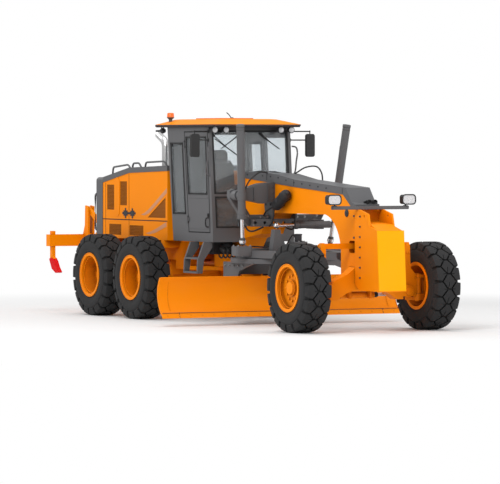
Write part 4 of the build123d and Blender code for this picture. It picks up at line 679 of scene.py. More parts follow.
# Roof
roof = {"base": 3.15, "lip": 0.022, "top": 3.26, "rear": -1.53, "front": 0.655, "half": 0.80,
        "slopeRear": 0.160, "slopeFront": 0.340, "slopeSide": 0.330, "beacon": (-1.265, -0.62, 3.19),
        "antenna": -0.277}
middle = (roof["rear"] + roof["front"]) / 2
work = bmesh.new()
layers = []
for z, cutRear, cutFront, cutSide, radius in (
        (roof["base"], 0.012, 0.012, 0.012, 0.075), (roof["base"] + 0.006, 0, 0, 0, 0.09),
        (roof["base"] + roof["lip"], 0, 0, 0, 0.09), (roof["base"] + roof["lip"] + 0.010, 0.02, 0.035, 0.035, 0.09),
        (roof["top"] - 0.006, roof["slopeRear"] - 0.02, roof["slopeFront"] - 0.04, roof["slopeSide"] - 0.03, 0.06),
        (roof["top"], roof["slopeRear"] + 0.03, roof["slopeFront"] + 0.05, roof["slopeSide"] + 0.04, 0.05)):
    low, high = roof["rear"] + cutRear, roof["front"] - cutFront
    outline = roundedRect(high - low, 2 * (roof["half"] - cutSide), radius, 6, ((low + high) / 2, 0))
    layers.append([work.verts.new((x, y, z)) for x, y in outline])
skin(work, layers)
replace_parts(finishPiece(work, "roof_shell", orangePaint, "front_frame", 40), "cab_roof")
work = bmesh.new()
rim = roundedRect(roof["front"] - roof["rear"] + 0.006, 2 * roof["half"] + 0.006, 0.092, middle=(middle, 0))
plate(work, rim, "z", roof["base"] + 0.001, roof["base"] + 0.020)
finishPiece(work, "roof_rim", greyDark)
work = bmesh.new()
hatch = roundedRect(0.95, 0.62, 0.08, middle=(middle - 0.10, 0))
plate(work, hatch, "z", roof["top"] - 0.004, roof["top"] + 0.016, 0.006)
finishPiece(work, "roof_hatch", orangePaint)
work = bmesh.new()
turned(work, roof["beacon"], (0, 0, 1), [(0, 0.03), (0.065, 0.028), (0.072, 0.033), (0.095, 0.060), (0.105, 0.062)], 28)
finishPiece(work, "beacon_base", greyPaint)
work = bmesh.new()
turned(work, Vector(roof["beacon"]) + Vector((0, 0, 0.103)), (0, 0, 1),
       [(0, 0.058), (0.062, 0.054), (0.072, 0.046), (0.075, 0.001)], 28)
finishPiece(work, "beacon_lens", amberLens, "front_frame", 50)
work = bmesh.new()
foot = roof["top"] - 0.005
tube(work, [(roof["antenna"], 0, foot), (-0.37, 0, 3.325), (-0.46, 0, 3.366)], 0.008, 8, True)
turned(work, (roof["antenna"] + 0.01, 0, foot), (0, 0, 1), [(0, 0.03), (0.02, 0.028), (0.035, 0.012)], 16)
finishPiece(work, "antenna", blackPlastic)
work = bmesh.new()
block(work, (-1.50, -0.775, 3.128), (0.62, 0.775, 3.149), 0.006)
for y in (-0.77, 0.77):
    tube(work, [(-1.50, y, 3.148), (0.60, y, 3.148)], 0.014, 8)
finishPiece(work, "roof_lining", greyDark)


def roofLamp(shell, glass, spot, ahead, profile, lensAt, lensProfile, count):
    x, y, z = spot
    turned(shell, spot, (ahead, 0, 0), profile, count)
    turned(glass, (x + ahead * lensAt, y, z), (ahead, 0, 0), lensProfile, count)
    tube(shell, [(x + 0.03 * ahead, y, z + 0.03), (x + 0.03 * ahead, y, 3.14)], 0.01, 8)


workLamps = {"front": ((0.395, -0.70), (0.40, -0.50), (0.40, 0.50), (0.40, 0.69)), "rear": 0.66, "marker": 0.70}
work, lensWork = bmesh.new(), bmesh.new()
for x, y in workLamps["front"]:
    roofLamp(work, lensWork, (x, y, 3.085), 1,
             [(0, 0.03), (0.015, 0.045), (0.07, 0.056), (0.078, 0.056), (0.078, 0.048)], 0.07,
             [(0, 0.047), (0.012, 0.045), (0.016, 0.001)], 24)
finishPiece(work, "work_lamps", greyDark)
finishPiece(lensWork, "work_lamp_lenses", lampShine)
work, lensWork = bmesh.new(), bmesh.new()
for hand, side in sides:
    roofLamp(work, lensWork, (-1.41, side * workLamps["rear"], 3.075), -1,
             [(0, 0.025), (0.015, 0.038), (0.06, 0.048), (0.066, 0.048), (0.066, 0.040)], 0.06,
             [(0, 0.040), (0.010, 0.038), (0.014, 0.001)], 20)
    # marker lamp on a small bracket at the roof's rear corner
    y = side * workLamps["marker"]
    block(work, (-1.62, y - 0.02, 3.055), (-1.52, y + 0.02, 3.085), 0.006)
    tube(work, [(-1.535, y, 3.07), (-1.44, y, 3.10), (-1.43, y, 3.14)], 0.008, 8)
finishPiece(work, "rear_work_lamps", greyDark)
finishPiece(lensWork, "rear_work_lenses", lampShine)
print("roof dressed")

# Cab faces, each a station along X that leans with the height
cab = {"half": 0.74, "handleX": 0.316}


def cabFront(z):
    return 0.48 - 0.15 * max(0.0, (z - 1.5) / 1.65)


def cabRear(z):
    return -0.92 - 0.225 * (z - 1.285) / 1.865


def doorRear(z):
    return -0.37 - 0.17 * (z - 1.43) / 1.63


def doorFront(z):
    return 0.39 - 0.095 * (z - 1.43) / 1.63


def sidePane(y, rear, rearGap, front, frontGap, low, high, stationLow, stationHigh):
    return [(rear(stationLow) + rearGap, y, low), (front(stationLow) - frontGap, y, low),
            (front(stationHigh) - frontGap, y, high), (rear(stationHigh) + rearGap, y, high)]


def crossPane(station, lift, left, right, low, high, stationLow, stationHigh):
    return [(station(stationLow) + lift, left, low), (station(stationLow) + lift, right, low),
            (station(stationHigh) + lift, right, high), (station(stationHigh) + lift, left, high)]


# Window rubbers and grab tubes
seals, grips = bmesh.new(), bmesh.new()
for hand, side in sides:
    y = side * cab["half"]
    slot = [(cabRear(1.75) + 0.06, y, 1.735), (doorRear(1.75) - 0.08, y, 1.735), (doorRear(2.85) - 0.08, y, 2.865),
            (cabRear(2.85) + 0.095, y, 2.865)]
    stripRing(seals, slot, (0, side, 0), 0.030, 0.006)
    tube(grips, [(0.40, side * 0.735, 2.82), (0.43, side * 0.80, 2.80), (0.455, side * 0.81, 2.71),
                 (0.42, side * 0.81, 2.58), (0.372, side * 0.81, 2.40), (0.370, side * 0.735, 2.345)], 0.013, 10, True)
stripRing(seals, crossPane(cabFront, 0.002, -0.675, 0.675, 2.07, 3.06, 2.08, 3.05), (1, 0, 0.09), 0.026, 0.005)
for middle in (-0.465, 0.465):
    stripRing(seals, crossPane(cabFront, 0.002, middle - 0.205, middle + 0.205, 1.525, 2.005, 1.53, 2.0),
              (1, 0, 0.09), 0.022, 0.005)
stripRing(seals, crossPane(cabRear, -0.002, -0.63, 0.63, 2.17, 3.02, 2.17, 3.02), (-1, 0, -0.12), 0.026, 0.005)
finishPiece(seals, "cab_window_rubbers", sealRubber)
finishPiece(grips, "cab_grab_tubes", greyPaint)

# Door seals, handles and pressed ribs
for hand, side in sides:
    y, out = side * cab["half"], (0, side, 0)
    work = bmesh.new()
    stripRing(work, sidePane(y, doorRear, 0.06, doorFront, 0.075, 2.055, 2.965, 2.06, 2.96), out, 0.024, 0.005)
    stripRing(work, sidePane(y, doorRear, 0.010, doorFront, 0.010, 1.441, 3.049, 1.44, 3.05), out, 0.010, 0.004)
    finishPiece(work, f"door_rubber_{hand}", sealRubber, f"door_{hand}")
    work = bmesh.new()
    x = cab["handleX"]
    tube(work, [(x + 0.01, side * 0.738, 1.675), (x - 0.004, side * 0.775, 1.665), (x - 0.012, side * 0.785, 1.60),
                (x - 0.004, side * 0.775, 1.535), (x + 0.01, side * 0.738, 1.525)], 0.011, 10, True)
    block(work, (x - 0.02, y, 1.685), (x + 0.03, y + side * 0.012, 1.745))
    turned(work, (x + 0.005, y, 1.715), out, [(0, 0.012), (0.018, 0.012), (0.020, 0.009)], 16)
    finishPiece(work, f"door_handle_{hand}", blackPlastic, f"door_{hand}")
    work = bmesh.new()
    for z, wide, high in ((2.0, 0.035, 0.005), (1.5, 0.02, 0.004)):
        strip(work, (doorRear(z) + 0.05, y, z), (doorFront(z) - 0.05, y, z), out, wide, high, 0.002)
    finishPiece(work, f"door_rib_{hand}", greyPaint, f"door_{hand}")

# Wipers: pivot, elbow, blade's ends, as places across and up the front glass
wipers = (((-0.655, 2.985), (-0.43, 2.80), (-0.635, 2.94), (-0.228, 2.67)),
          ((-0.20, 3.02), (-0.37, 2.885), (-0.534, 2.776), (-0.21, 2.99)),
          ((0.20, 3.02), (0.37, 2.885), (0.534, 2.776), (0.21, 2.99)))


def onGlass(spot, lift):
    return Vector((cabFront(spot[1]) - 0.02 + lift, *spot))


work = bmesh.new()
for pivot, elbow, start, end in wipers:
    turned(work, onGlass(pivot, 0.0), (1, 0, 0.09), [(0, 0.022), (0.03, 0.022), (0.035, 0.016)], 16)
    tube(work, [onGlass(pivot, 0.034), onGlass(elbow, 0.03)], 0.007, 8)
    strip(work, onGlass(start, 0.006), onGlass(end, 0.006), (1, 0, 0.09), 0.012, 0.018)
finishPiece(work, "wipers", blackPlastic)

# Mirrors
mirror = {"x": 0.44, "y": 1.048, "z": 2.834, "arms": (3.06, 2.92), "armX": 0.322}
work, glassWork = bmesh.new(), bmesh.new()
for hand, side in sides:
    x, y, armX = mirror["x"], side * mirror["y"], mirror["armX"]
    plate(work, roundedRect(0.154, 0.372, 0.038, middle=(y, mirror["z"])), "x", x - 0.023, x + 0.030, 0.012)
    for k in range(4):
        z = mirror["z"] - 0.12 + k * 0.08
        strip(work, (x + 0.030, y - 0.05, z), (x + 0.030, y + 0.05, z), (1, 0, 0), 0.008, 0.003)
    plate(glassWork, roundedRect(0.128, 0.340, 0.030, middle=(y, mirror["z"])), "x", x - 0.0245, x - 0.0225, 0)
    for z in mirror["arms"]:
        turned(work, (armX, side * 0.740, z), (0, side, 0), [(0, 0.030), (0.012, 0.030), (0.02, 0.018)], 16)
        tube(work, [(armX, side * 0.742, z), (armX, y - side * 0.02, z), (armX + 0.02, y, z), (x + 0.004, y, z)], 0.011)
    tube(work, [(x, y, 3.075), (x, y, 2.90)], 0.009, 8)
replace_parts(finishPiece(work, "mirror_shells", blackPlastic), "mirrors")
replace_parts(finishPiece(glassWork, "mirror_glasses", mirrorGlass), "mirrors")
print("cab dressed outside")

# Seat
cushions = {"seat_cushion": ((-0.52, -0.235, 1.76), (-0.145, 0.235, 1.865), 0.035, 0),
            "seat_back": ((-0.665, -0.225, 1.87), (-0.575, 0.225, 2.56), 0.035, -9),
            "seat_head": ((-0.735, -0.135, 2.56), (-0.655, 0.135, 2.76), 0.03, -9)}
for name, (low, high, roundness, lean) in cushions.items():
    work = bmesh.new()
    block(work, low, high, roundness, Matrix.Rotation(math.radians(lean), 4, "Y"))
    bmesh.ops.bevel(work, geom=work.edges[:], offset=roundness * 0.4, segments=3, affect="EDGES", clamp_overlap=True)
    piece = finishPiece(work, name, seatCloth, "front_frame", 80)
    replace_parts(piece, "seat")
work = bmesh.new()
block(work, (-0.60, -0.16, 1.345), (-0.24, 0.16, 1.43), 0.01)
for k in range(6):
    block(work, (-0.55 + 0.004 * (k % 2), -0.13, 1.43 + k * 0.05), (-0.26, 0.13, 1.472 + k * 0.05), 0.012)
block(work, (-0.57, -0.19, 1.73), (-0.18, 0.19, 1.76), 0.008)
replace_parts(finishPiece(work, "seat_base", blackPlastic), "seat")

# Arm pods with levers, steering wheel, dash pod and a display on the front post
steer = {"centre": Vector((-0.13, 0.0, 2.115)), "radius": 0.19, "axis": Vector((-0.42, 0, 0.9)).normalized(),
         "spokes": (0.5, 2.6, 4.7)}
work = bmesh.new()
for hand, side in sides:
    y = side * 0.29
    block(work, (-0.44, y - 0.045, 1.98), (-0.12, y + 0.045, 2.05), 0.015)
    block(work, (-0.42, y - 0.03, 1.62), (-0.34, y + 0.03, 1.98), 0.01)
    turned(work, (-0.145, y, 2.045), (0.15, 0, 1),
           [(0, 0.035), (0.03, 0.022), (0.05, 0.018), (0.10, 0.022), (0.125, 0.018)], 18)
    for k in range(3):
        tube(work, [(-0.30 + k * 0.04, y, 2.05), (-0.295 + k * 0.04, y, 2.10)], 0.006, 8)
across, up = Vector((0.9, 0, 0.42)).normalized(), Vector((0, 1, 0))
hoop(work, steer["centre"], steer["radius"], 0.013, across, up, steer["axis"], 40, 10)
for angle in steer["spokes"]:
    end = steer["centre"] + steer["radius"] * (math.cos(angle) * across + math.sin(angle) * up)
    tube(work, [steer["centre"] - steer["axis"] * 0.02, end], 0.010, 8)
turned(work, steer["centre"] - steer["axis"] * 0.10, steer["axis"],
       [(0, 0.02), (0.06, 0.022), (0.07, 0.035), (0.095, 0.035), (0.10, 0.03)], 20)
block(work, (-0.03, -0.17, 2.02), (0.10, 0.17, 2.10), 0.02)
block(work, (0.20, -0.60, 2.28), (0.235, -0.42, 2.42), 0.012)
tube(work, [(0.24, -0.52, 2.30), (0.31, -0.58, 2.24), (0.36, -0.66, 2.20)], 0.012, 8)
finishPiece(work, "cab_controls", blackPlastic)

# Lining of the rear wall and floor mats
work = bmesh.new()
for high, left, right in ((3.08, -0.690, 0.02), (2.16, 0.025, 0.690)):
    plate(work, [(cabRear(1.36) + 0.052, 1.36), (cabRear(1.36) + 0.085, 1.36), (cabRear(high) + 0.085, high),
                 (cabRear(high) + 0.052, high)], "y", left, right, 0.004)
for rear, front, left, right in ((-0.80, 0.42, -0.688, -0.21), (-0.80, 0.42, 0.21, 0.688), (-0.86, 0.10, -0.20, 0.20)):
    block(work, (rear, left, 1.348), (front, right, 1.362), 0.002)
finishPiece(work, "cab_lining", greyDark)
print("cab furnished")

# Gooseneck: joint bolts, the counterweight's plate in lighter orange as painted light, cover trim and bolts
neck = {"half": 0.200, "coverHalf": 0.210, "column": 4.18, "flange": 4.347, "weight": 4.96, "weightTop": 4.8915}
work = bmesh.new()
for hand, side in sides:
    bolts(work, [(neck["flange"], side * 0.2225, 1.756 - k * 0.1555) for k in range(7)], (0, side, 0), 0.020, 0.016)
    bolts(work, [(neck["column"] - 0.06, side * neck["half"], z) for z in (1.76, 1.43)], (0, side, 0), 0.022)
    bolts(work, [(x, side * 0.228, z) for x, z in
                 ((1.28, 2.12), (1.39, 2.115), (1.50, 2.11), (1.32, 1.90), (1.48, 1.90))], (0, side, 0), 0.026, 0.016)
finishPiece(work, "joint_bolts", castSteel)
# the counterweight's front plate: lighter orange painted on as painted light
work = bmesh.new()
plate(work, [(neck["weight"], 0.642), (neck["weightTop"], 1.5485), (neck["weightTop"] - 0.02, 1.5485),
             (neck["weight"] - 0.02, 0.642)], "y", -0.2325, 0.2325, 0.0)
finishPiece(work, "weight_face_painted_light", orangePaintedLight)
work = bmesh.new()
for hand, side in sides:
    y, coverY = side * neck["half"], side * neck["coverHalf"]
    turned(work, (3.896, y, 1.80), (0, side, 0), [(0, 0.056), (0.010, 0.056), (0.014, 0.050)], 32)
    turned(work, (3.896, y + side * 0.014, 1.80), (0, side, 0), [(0, 0.022), (0.005, 0.020)], 20)
    for x, low, high in ((2.21, 2.20, 2.30), (1.31, 2.285, 2.395), (3.77, 2.10, 2.18)):
        strip(work, (x, coverY, low), (x, coverY, high), (0, side, 0), 0.010, 0.003)
finishPiece(work, "cover_trim", greyDark)
# the cover's top edge: station, height there, fall per metre behind it
coverEdge = ((0.55, 2.405, 0.03), (1.61, 2.373, 0.139), (2.22, 2.288, 0.074))
work = bmesh.new()
for hand, side in sides:
    for k in range(11):
        x = 0.66 + k * 0.26
        start, top, fall = max(row for row in coverEdge if row[0] <= x)
        bolts(work, [(x, side * neck["coverHalf"], top - fall * (x - start) - 0.035)], (0, side, 0), 0.015, 0.008)
finishPiece(work, "cover_bolts", blackPlastic)

# Accumulator
can = {"low": Vector((1.775, -0.302, 1.868)), "high": Vector((2.165, -0.302, 2.086)), "radius": 0.086}
work = bmesh.new()
low, high, wide = can["low"], can["high"], can["radius"]
along, reach = (high - low).normalized(), (high - low).length
turned(work, low, along, [(0, 0.6 * wide), (0.012, 0.85 * wide), (0.045, wide), (reach - 0.05, wide),
                          (reach - 0.015, 0.86 * wide), (reach, 0.5 * wide)], 32)
for share in (0.28, 0.72):
    spot = low + (high - low) * share
    turned(work, spot - along * 0.012, along, [(0, wide + 0.005), (0.024, wide + 0.005)], 32)
    block(work, (spot.x - 0.02, -0.235, spot.z - 0.05), (spot.x + 0.02, -0.205, spot.z + 0.05))
finishPiece(work, "accumulator", blackPlastic)
work = bmesh.new()
turned(work, (low + high) / 2 + Vector((0, 0.001 - wide, 0)), (0, -1, 0),
       [(0, 0.034), (0.005, 0.034), (0.007, 0.028)], 20)
turned(work, high - along * 0.004, along, [(0, 0.022), (0.03, 0.022), (0.036, 0.014)], 16)
finishPiece(work, "accumulator_caps", greyDark)

# Head lamps: lens, bezel and feet; horns between them
headLamp = {"y": 0.652, "z": 2.010, "face": 4.315}
work, lensWork = bmesh.new(), bmesh.new()
for hand, side in sides:
    middle, face = (side * headLamp["y"], headLamp["z"]), headLamp["face"]
    shape = roundedRect(0.225, 0.145, 0.050, middle=middle)
    for a, b in zip(shape[-1:] + shape, shape):
        strip(work, (face, *a), (face, *b), (1, 0, 0), 0.018, 0.012)
    plate(lensWork, roundedRect(0.208, 0.128, 0.045, middle=middle), "x", face, face + 0.007)
    block(work, (4.235, side * 0.62 - 0.03, 1.913), (4.292, side * 0.62 + 0.03, 1.921), 0.002)
for y in (0.04, 0.14):
    turned(work, (4.09, y, 1.985), (1, 0, -0.25), [(0, 0.020), (0.03, 0.022), (0.06, 0.030), (0.075, 0.045),
                                                   (0.080, 0.045), (0.080, 0.035), (0.060, 0.018)])
block(work, (4.07, -0.01, 1.935), (4.12, 0.19, 1.985), 0.008)
finishPiece(work, "lamp_bezels", blackPlastic)
work = bmesh.new()
block(work, (4.238, -0.669, 1.860), (4.290, 0.669, 1.9135), 0.006)
finishPiece(work, "lamp_bar_face", greyPaint)
finishPiece(lensWork, "lamp_lenses", lensPale)
print("gooseneck dressed")

# Hoses that stay with the front frame: radius, then the run
hoses = (
    (0.012, [(0.66, 0.12, 2.40), (0.95, 0.13, 2.41), (1.45, 0.15, 2.36), (1.60, 0.17, 2.40), (1.662, 0.30, 2.486),
             (1.76, 0.44, 2.50), (1.68, 0.58, 2.40), (1.58, 0.66, 2.24), (1.50, 0.74, 2.08)]),
    (0.012, [(0.66, -0.13, 2.40), (1.0, -0.15, 2.42), (1.35, -0.22, 2.40), (1.52, -0.45, 2.41), (1.58, -0.66, 2.28),
             (1.56, -0.76, 2.08)]),
    (0.013, [(1.66, -0.232, 1.98), (1.73, -0.30, 1.88), (1.79, -0.34, 1.74), (1.70, -0.32, 1.62), (1.50, -0.26, 1.56)]),
    (0.013, [(1.20, -0.215, 1.62), (1.34, -0.30, 1.66), (1.52, -0.34, 1.78), (1.72, -0.33, 1.86), (1.82, -0.31, 1.90)]),
    (0.014, [(0.62, -0.22, 1.75), (0.84, -0.30, 1.62), (1.10, -0.33, 1.56), (1.30, -0.28, 1.60), (1.42, -0.24, 1.72)]),
    (0.014, [(0.62, -0.22, 1.68), (0.86, -0.34, 1.52), (1.12, -0.37, 1.47), (1.36, -0.30, 1.54)]),
    (0.014, [(0.62, 0.22, 1.70), (0.90, 0.33, 1.54), (1.16, 0.34, 1.50), (1.42, 0.26, 1.66)]),
)
work = bmesh.new()
for radius, points in hoses:
    tube(work, points, radius, 10, True)
# bundle down the column towards the axle
for y in (-0.06, -0.01, 0.04):
    tube(work, [(3.55, y, 1.60), (3.61, y, 1.45), (3.685, y, 1.22), (3.692, y, 1.02), (3.69, y * 1.3, 0.80),
                (3.79, y * 1.8, 0.66)], 0.012, 8, True)
finishPiece(work, "frame_hoses", hoseRubber)

# Saddle: valve blocks and trunnion caps, box arms that tie the trunnions to the gooseneck, bolts
saddleArm = {"rear": 1.415, "front": 1.575, "ribs": ((0.33, 2.215), (0.58, 2.165)),
             "outline": [(0.202, 1.96), (0.202, 2.255), (0.46, 2.235), (0.80, 2.135), (0.835, 2.06), (0.80, 1.975),
                         (0.66, 1.965), (0.42, 1.915)]}
work, armWork, boltWork = bmesh.new(), bmesh.new(), bmesh.new()
bolts(boltWork, [(1.495, y, z) for y in (-0.545, 0.545) for z in (1.577, 1.647)], (1, 0, 0), 0.020)
for hand, side in sides:
    block(work, (1.36, side * 0.70, 1.98), (1.50, side * 0.80, 2.08), 0.008)
    for z in (2.005, 2.030, 2.055):
        turned(work, (1.50, side * 0.75, z), (1, 0, 0), [(0, 0.010), (0.03, 0.010), (0.035, 0.007)], 8)
    turned(work, (1.43, side * 0.75, 2.075), (0, 0, 1), [(0, 0.022), (0.03, 0.022), (0.04, 0.014), (0.06, 0.014)], 14)
    turned(work, (1.345, side * 0.857, 2.050), (-1, 0, 0), [(0, 0.062), (0.016, 0.058), (0.020, 0.040)], 28)
    face = saddleArm["front"]
    plate(armWork, [(side * y, z) for y, z in saddleArm["outline"]], "x", saddleArm["rear"], face, 0.012)
    for y, high in saddleArm["ribs"]:
        block(armWork, (face - 0.002, side * y - 0.010, 1.97), (face + 0.016, side * y + 0.010, high), 0.003)
    bolts(armWork, [(face, side * 0.245, z) for z in (2.00, 2.09, 2.18)], (1, 0, 0), 0.020, 0.014)
    bolts(boltWork, [(1.445, side * y, z) for y, z in ((0.27, 1.70), (0.27, 1.60), (0.40, 1.70), (0.62, 1.72))],
          (1, 0, 0), 0.024, 0.016)
finishPiece(work, "saddle_valves", greyDark)
finishPiece(armWork, "saddle_arms", greyPaint)
finishPiece(boltWork, "saddle_bolts", boltSteel)
print("saddle dressed")

# Lift rams: head caps, glands, ports and lines along the barrels
ram = {"top": (1.687, 0.857, 2.050), "eye": (1.590, 0.790, 1.300), "up": 1.125, "down": 0.370,
       "lines": ((-0.02, -1.05, 0.29), (0.02, -0.80, 0.06)), "bands": (-1.085, -1.045)}
for hand, side in sides:
    top, eye = (Vector((x, side * y, z)) for x, y, z in (ram["top"], ram["eye"]))
    down = (eye - top).normalized()
    across = down.cross(Vector((1, 0, 0))).normalized()
    work = bmesh.new()
    turned(work, top - down * ram["up"], down, [(-0.004, 0.050), (0.0, 0.064), (0.030, 0.067), (0.036, 0.063)], 32)
    turned(work, top + down * 0.02, down, [(-0.055, 0.066), (-0.050, 0.070), (0.050, 0.070), (0.055, 0.066)], 32)
    turned(work, top + down * (ram["down"] - 0.055), down, [(0, 0.063), (0.006, 0.0735), (0.055, 0.0735)], 32)
    for shift, start, end in ram["lines"]:
        tube(work, [top + down * at + across * shift - Vector((out, 0, 0)) for at, out in
                    ((start, 0.058), (start + 0.02, 0.080), (end - 0.02, 0.080), (end, 0.058))], 0.009, 8)
    finishPiece(work, f"lift_head_{hand}", greyPaint, f"lift_barrel_{hand}")
    work = bmesh.new()
    for at in ram["bands"]:
        turned(work, top + down * at, down, [(0, 0.064), (0.004, 0.0645)], 24)
    turned(work, top + down * (ram["down"] + 0.001), down, [(0, 0.045), (0.008, 0.042), (0.009, 0.0305)], 28)
    finishPiece(work, f"lift_seal_{hand}", blackPlastic, f"lift_barrel_{hand}")
    work = bmesh.new()
    turned(work, eye - down * 0.085, down, [(0, 0.033), (0.006, 0.042), (0.045, 0.046), (0.060, 0.040)], 28)
    finishPiece(work, f"lift_eye_{hand}", castSteel, f"lift_rod_{hand}")

# Shift ram
shiftRam = {"base": Vector((1.895, 0.500, 1.585)), "tip": Vector((1.845, -0.330, 1.575)), "gland": 0.45,
            "bands": (0.14, 0.40)}
base = shiftRam["base"]
run = (shiftRam["tip"] - base).normalized()
work = bmesh.new()
turned(work, base + run * shiftRam["gland"], run, [(0, 0.056), (0.006, 0.0655), (0.060, 0.0655)], 28)
turned(work, base - run * 0.108, run, [(-0.006, 0.040), (0, 0.052), (0.012, 0.057), (0.03, 0.057)], 28)
for at in shiftRam["bands"]:
    turned(work, base + run * at, run, [(0, 0.058), (0.028, 0.058)], 28)
tube(work, [base + run * at + Vector((0, 0, up)) for at, up in
            ((0.06, 0.052), (0.08, 0.072), (0.44, 0.072), (0.46, 0.055))], 0.009, 8)
finishPiece(work, "shift_head", greyPaint, "shift_barrel")
print("rams dressed")

# Drawbar: cup covers, ring-drive gearbox with its motor, clamp blocks that carry the circle, hoses
drive = {"x": 1.97, "boltRing": 0.095}
work = bmesh.new()
for hand, side in sides:
    bolts(work, [(1.590 + dx, side * 0.80 + dy, 1.249) for dy in (-0.105, 0.105) for dx in (-0.080, 0.080)],
          (0, 0, 1), 0.024, 0.014)
    bolts(work, [(x, side * 0.62, 1.0855) for x in (1.24, 1.48)], (0, 0, 1), 0.022)
bolts(work, [(drive["x"] + drive["boltRing"] * c, drive["boltRing"] * s, 1.3205) for c, s in circle(8, 0.5)],
      (0, 0, 1), 0.018, 0.010)
finishPiece(work, "drawbar_bolts", boltSteel, "drawbar")
work, hoseWork = bmesh.new(), bmesh.new()
turned(work, (drive["x"], 0, 1.318), (0, 0, 1), [(0, 0.075), (0.012, 0.075), (0.016, 0.058), (0.10, 0.058),
                                                 (0.106, 0.064), (0.120, 0.064), (0.124, 0.05)], 28)
block(work, (1.895, -0.035, 1.385), (1.92, 0.035, 1.435))
for y, end in ((-0.02, -0.20), (0.02, -0.25)):
    turned(work, (1.898, y, 1.41), (-1, 0, 0), [(0, 0.012), (0.02, 0.012), (0.024, 0.009)], 8)
    tube(hoseWork, [(1.878, y, 1.41), (1.84, y * 1.6, 1.42), (1.77, y * 3, 1.33), (1.71, y * 4, 1.26),
                    (1.685, end, 1.235)], 0.010, 8, True)
for hand, side in sides:
    for x in (1.075, 1.675):
        block(work, (x - 0.06, side * 0.62 - 0.05, 1.086), (x + 0.06, side * 0.62 + 0.05, 1.112), 0.005)
    tube(hoseWork, [(1.51, side * 0.30, 1.222), (1.47, side * 0.50, 1.236), (1.51, side * 0.62, 1.235),
                    (1.57, side * 0.66, 1.225)], 0.011, 8, True)
finishPiece(work, "circle_drive", greyDark, "drawbar")
finishPiece(hoseWork, "drawbar_hoses", hoseRubber, "drawbar")

# Circle and blade
blade = {"seamHalf": 2.13, "boltStart": -2.04, "boltPitch": 0.204, "bolts": 21, "facing": Vector((0.9487, 0, 0.3162)),
         "heights": (0.185, 0.450, 0.760), "stations": (1.450, 1.308, 1.382)}


def bladeFront(z):
    low, mid, high = blade["heights"]
    a = (z - mid) * (z - high) / ((low - mid) * (low - high))
    b = (z - low) * (z - high) / ((mid - low) * (mid - high))
    c = (z - low) * (z - mid) / ((high - low) * (high - mid))
    return a * blade["stations"][0] + b * blade["stations"][1] + c * blade["stations"][2]


work = bmesh.new()
for hand, side in sides:
    bolts(work, [(0.84 + 0.15 * k, side * 0.703, 0.93) for k in range(5)], (0, side, 0), 0.024, 0.014)
finishPiece(work, "circle_bolts", boltSteel, "circle")
work = bmesh.new()
bolts(work, [(1.4555, blade["boltStart"] + blade["boltPitch"] * k, 0.172) for k in range(blade["bolts"])],
      blade["facing"], 0.021, 0.007)
finishPiece(work, "blade_bolts", orangePaint, "moldboard")
work = bmesh.new()
strip(work, (1.4485, -blade["seamHalf"], 0.214), (1.4485, blade["seamHalf"], 0.214), blade["facing"], 0.006, 0.003)
for y in (-1.83, 1.83):
    strip(work, (1.439, y, 0.222), (1.477, y, 0.136), blade["facing"], 0.005, 0.003)
finishPiece(work, "blade_seams", greyDark, "moldboard")
# end plates stiffen the blade's ends
work = bmesh.new()
heights = [0.22 + 0.06 * k for k in range(10)]
outline = [(bladeFront(z) + 0.004, z) for z in heights] + [(bladeFront(z) - 0.030, z) for z in heights[::-1]]
for hand, side in sides:
    plate(work, outline, "y", *sorted((side * 2.132, side * 2.1349)), 0)
    tube(work, [(bladeFront(z) + 0.0035, side * 1.965, z) for z in (0.25 + 0.055 * k for k in range(9))], 0.004, 6)
tube(work, [(1.372, -2.12, 0.765), (1.372, 2.12, 0.765)], 0.008, 8)
finishPiece(work, "blade_ends", orangePaint, "moldboard")
print("blade dressed")

# Front axle: king pin caps, lean pin caps, bar caps, gaiters and hoses of the steering ram
axle = {"x": 4.07, "kingY": 0.95, "kingZ": ((0.854, 1), (0.455, -1)), "leanY": 0.74}
for hand, side in sides:
    work = bmesh.new()
    y = side * axle["kingY"]
    for z, up in axle["kingZ"]:
        turned(work, (axle["x"], y, z), (0, 0, up), [(-0.002, 0.040), (0.010, 0.040), (0.016, 0.034)])
        bolts(work, [(axle["x"] + 0.05 * c, y + 0.05 * s, z) for c, s in circle(4, 0.5)], (0, 0, up), 0.011, 0.008)
    finishPiece(work, f"knuckle_caps_{hand}", orangePaint, f"knuckle_{hand}")
    work = bmesh.new()
    turned(work, (4.014, side * axle["leanY"], 1.30), (-1, 0, 0), [(-0.002, 0.036), (0.010, 0.034), (0.014, 0.02)], 20)
    bolts(work, [(4.1255, side * y, z) for y, z in ((0.72, 1.19), (0.76, 1.19), (0.87, 0.80), (0.87, 0.56))],
          (1, 0, 0), 0.018)
    finishPiece(work, f"lean_caps_{hand}", orangePaint, f"lean_{hand}")
work, gaiterWork, hoseWork = bmesh.new(), bmesh.new(), bmesh.new()
for hand, side in sides:
    y = side * axle["leanY"]
    for out in (-1, 1):
        turned(work, (axle["x"] + out * 0.1015, y, 0.60), (out, 0, 0), [(-0.004, 0.060), (0.012, 0.060), (0.018, 0.045)])
        bolts(work, [(axle["x"] + out * 0.1130, y + 0.042 * c, 0.60 + 0.042 * s) for c, s in circle(3, 0.75)],
              (out, 0, 0), 0.012, 0.006)
    folds = [(0.0, 0.040)] + [(0.012 + 0.012 * k, 0.034 if k % 2 else 0.044) for k in range(6)]
    turned(gaiterWork, (3.845, side * 0.289, 0.545), (0, side, 0), folds)
    tube(hoseWork, [(3.845, side * 0.22, 0.597), (3.83, side * 0.20, 0.66), (3.77, side * 0.14, 0.70),
                    (3.74, side * 0.08, 0.80), (3.705, side * 0.05, 0.90)], 0.010, 8, True)
turned(work, (neck["column"] - 0.001, 0, 0.82), (1, 0, 0), [(0, 0.05), (0.0005, 0.05)], 20)
finishPiece(work, "axle_caps", orangePaint)
finishPiece(gaiterWork, "steering_gaiters", hoseRubber)
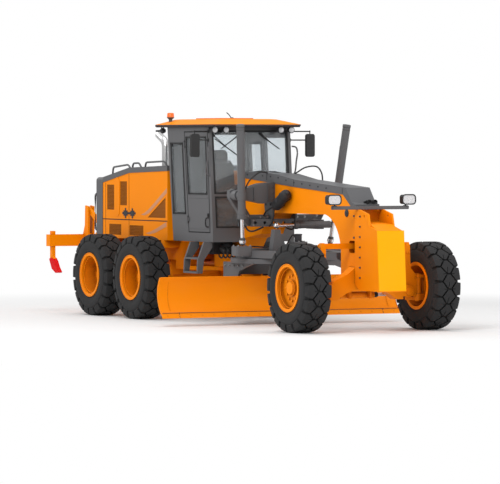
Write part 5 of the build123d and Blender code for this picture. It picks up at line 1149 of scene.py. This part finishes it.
finishPiece(hoseWork, "steering_hoses", hoseRubber)
print("axle dressed")

# Floor: away from the machine it turns into the plain white background
floor = {"size": 160.0, "shade": 0.80, "near": 7.0, "far": 13.0}


def seenRays(tree, clamp=False):
    rays = addNode(tree, "LightPath").outputs
    return addNode(tree, "Math", {0: rays["Is Camera Ray"], 1: rays["Is Transmission Ray"]}, operation="MAXIMUM",
                   use_clamp=clamp)


work = bmesh.new()
bmesh.ops.create_grid(work, x_segments=1, y_segments=1, size=floor["size"] / 2)
mesh = bpy.data.meshes.new("floor")
work.to_mesh(mesh)
work.free()
ground = addObject("floor", mesh)
material, tree, shader = startMaterial("floorWhite")
setInputs(tree, shader, {"Base Color": (floor["shade"], floor["shade"], floor["shade"], 1), "Roughness": 0.9})
place = addNode(tree, "TexCoord").outputs["Object"]
reach = addNode(tree, "VectorMath", {0: place}, operation="LENGTH").outputs["Value"]
away = addNode(tree, "MapRange", {"Value": reach, "From Min": floor["near"], "From Max": floor["far"], "To Min": 0.0},
               interpolation_type="SMOOTHSTEP")
level = multiply(tree, seenRays(tree), away)
both = addNode(tree, "MixShader", {0: level, 1: shader, 2: addNode(tree, "Emission")})
setInputs(tree, tree.nodes["Material Output"], {"Surface": both})
mesh.materials.append(material)

# Lamps: place, size, power, target
lamps = {
    "key": ((14, -15, 16), 9, 2600, (0, 0, 1)),
    "fill": ((18, 13, 8), 12, 1100, (0, 0, 1)),
    "rear": ((-16, -8, 14), 12, 900, (0, 0, 1)),
    "top": ((0, 0, 17), 14, 1100, (0, 0, 0)),
}
for name, (place, size, power, target) in lamps.items():
    light = bpy.data.lights.new(name, "AREA")
    light.size = size
    light.energy = power
    lamp = addObject(name, light)
    lamp.location = place
    lamp.rotation_euler = (Vector(target) - Vector(place)).to_track_quat("-Z", "Y").to_euler()

# World: soft light all round, plain white where the camera sees it
surround = {"light": 0.55, "seen": 1.0}
world = bpy.data.worlds.new("studio")
bpy.context.scene.world = world
world.use_nodes = True
tree = world.node_tree
back = tree.nodes["Background"]
setInputs(tree, back, {"Color": (1, 1, 1, 1), "Strength": surround["light"]})
white = addNode(tree, "Background", {"Color": (1, 1, 1, 1), "Strength": surround["seen"]})
both = addNode(tree, "MixShader", {0: seenRays(tree, True), 1: back, 2: white})
setInputs(tree, tree.nodes["World Output"], {"Surface": both})
bpy.context.scene.view_settings.view_transform = "Standard"
print("floor and lights placed")
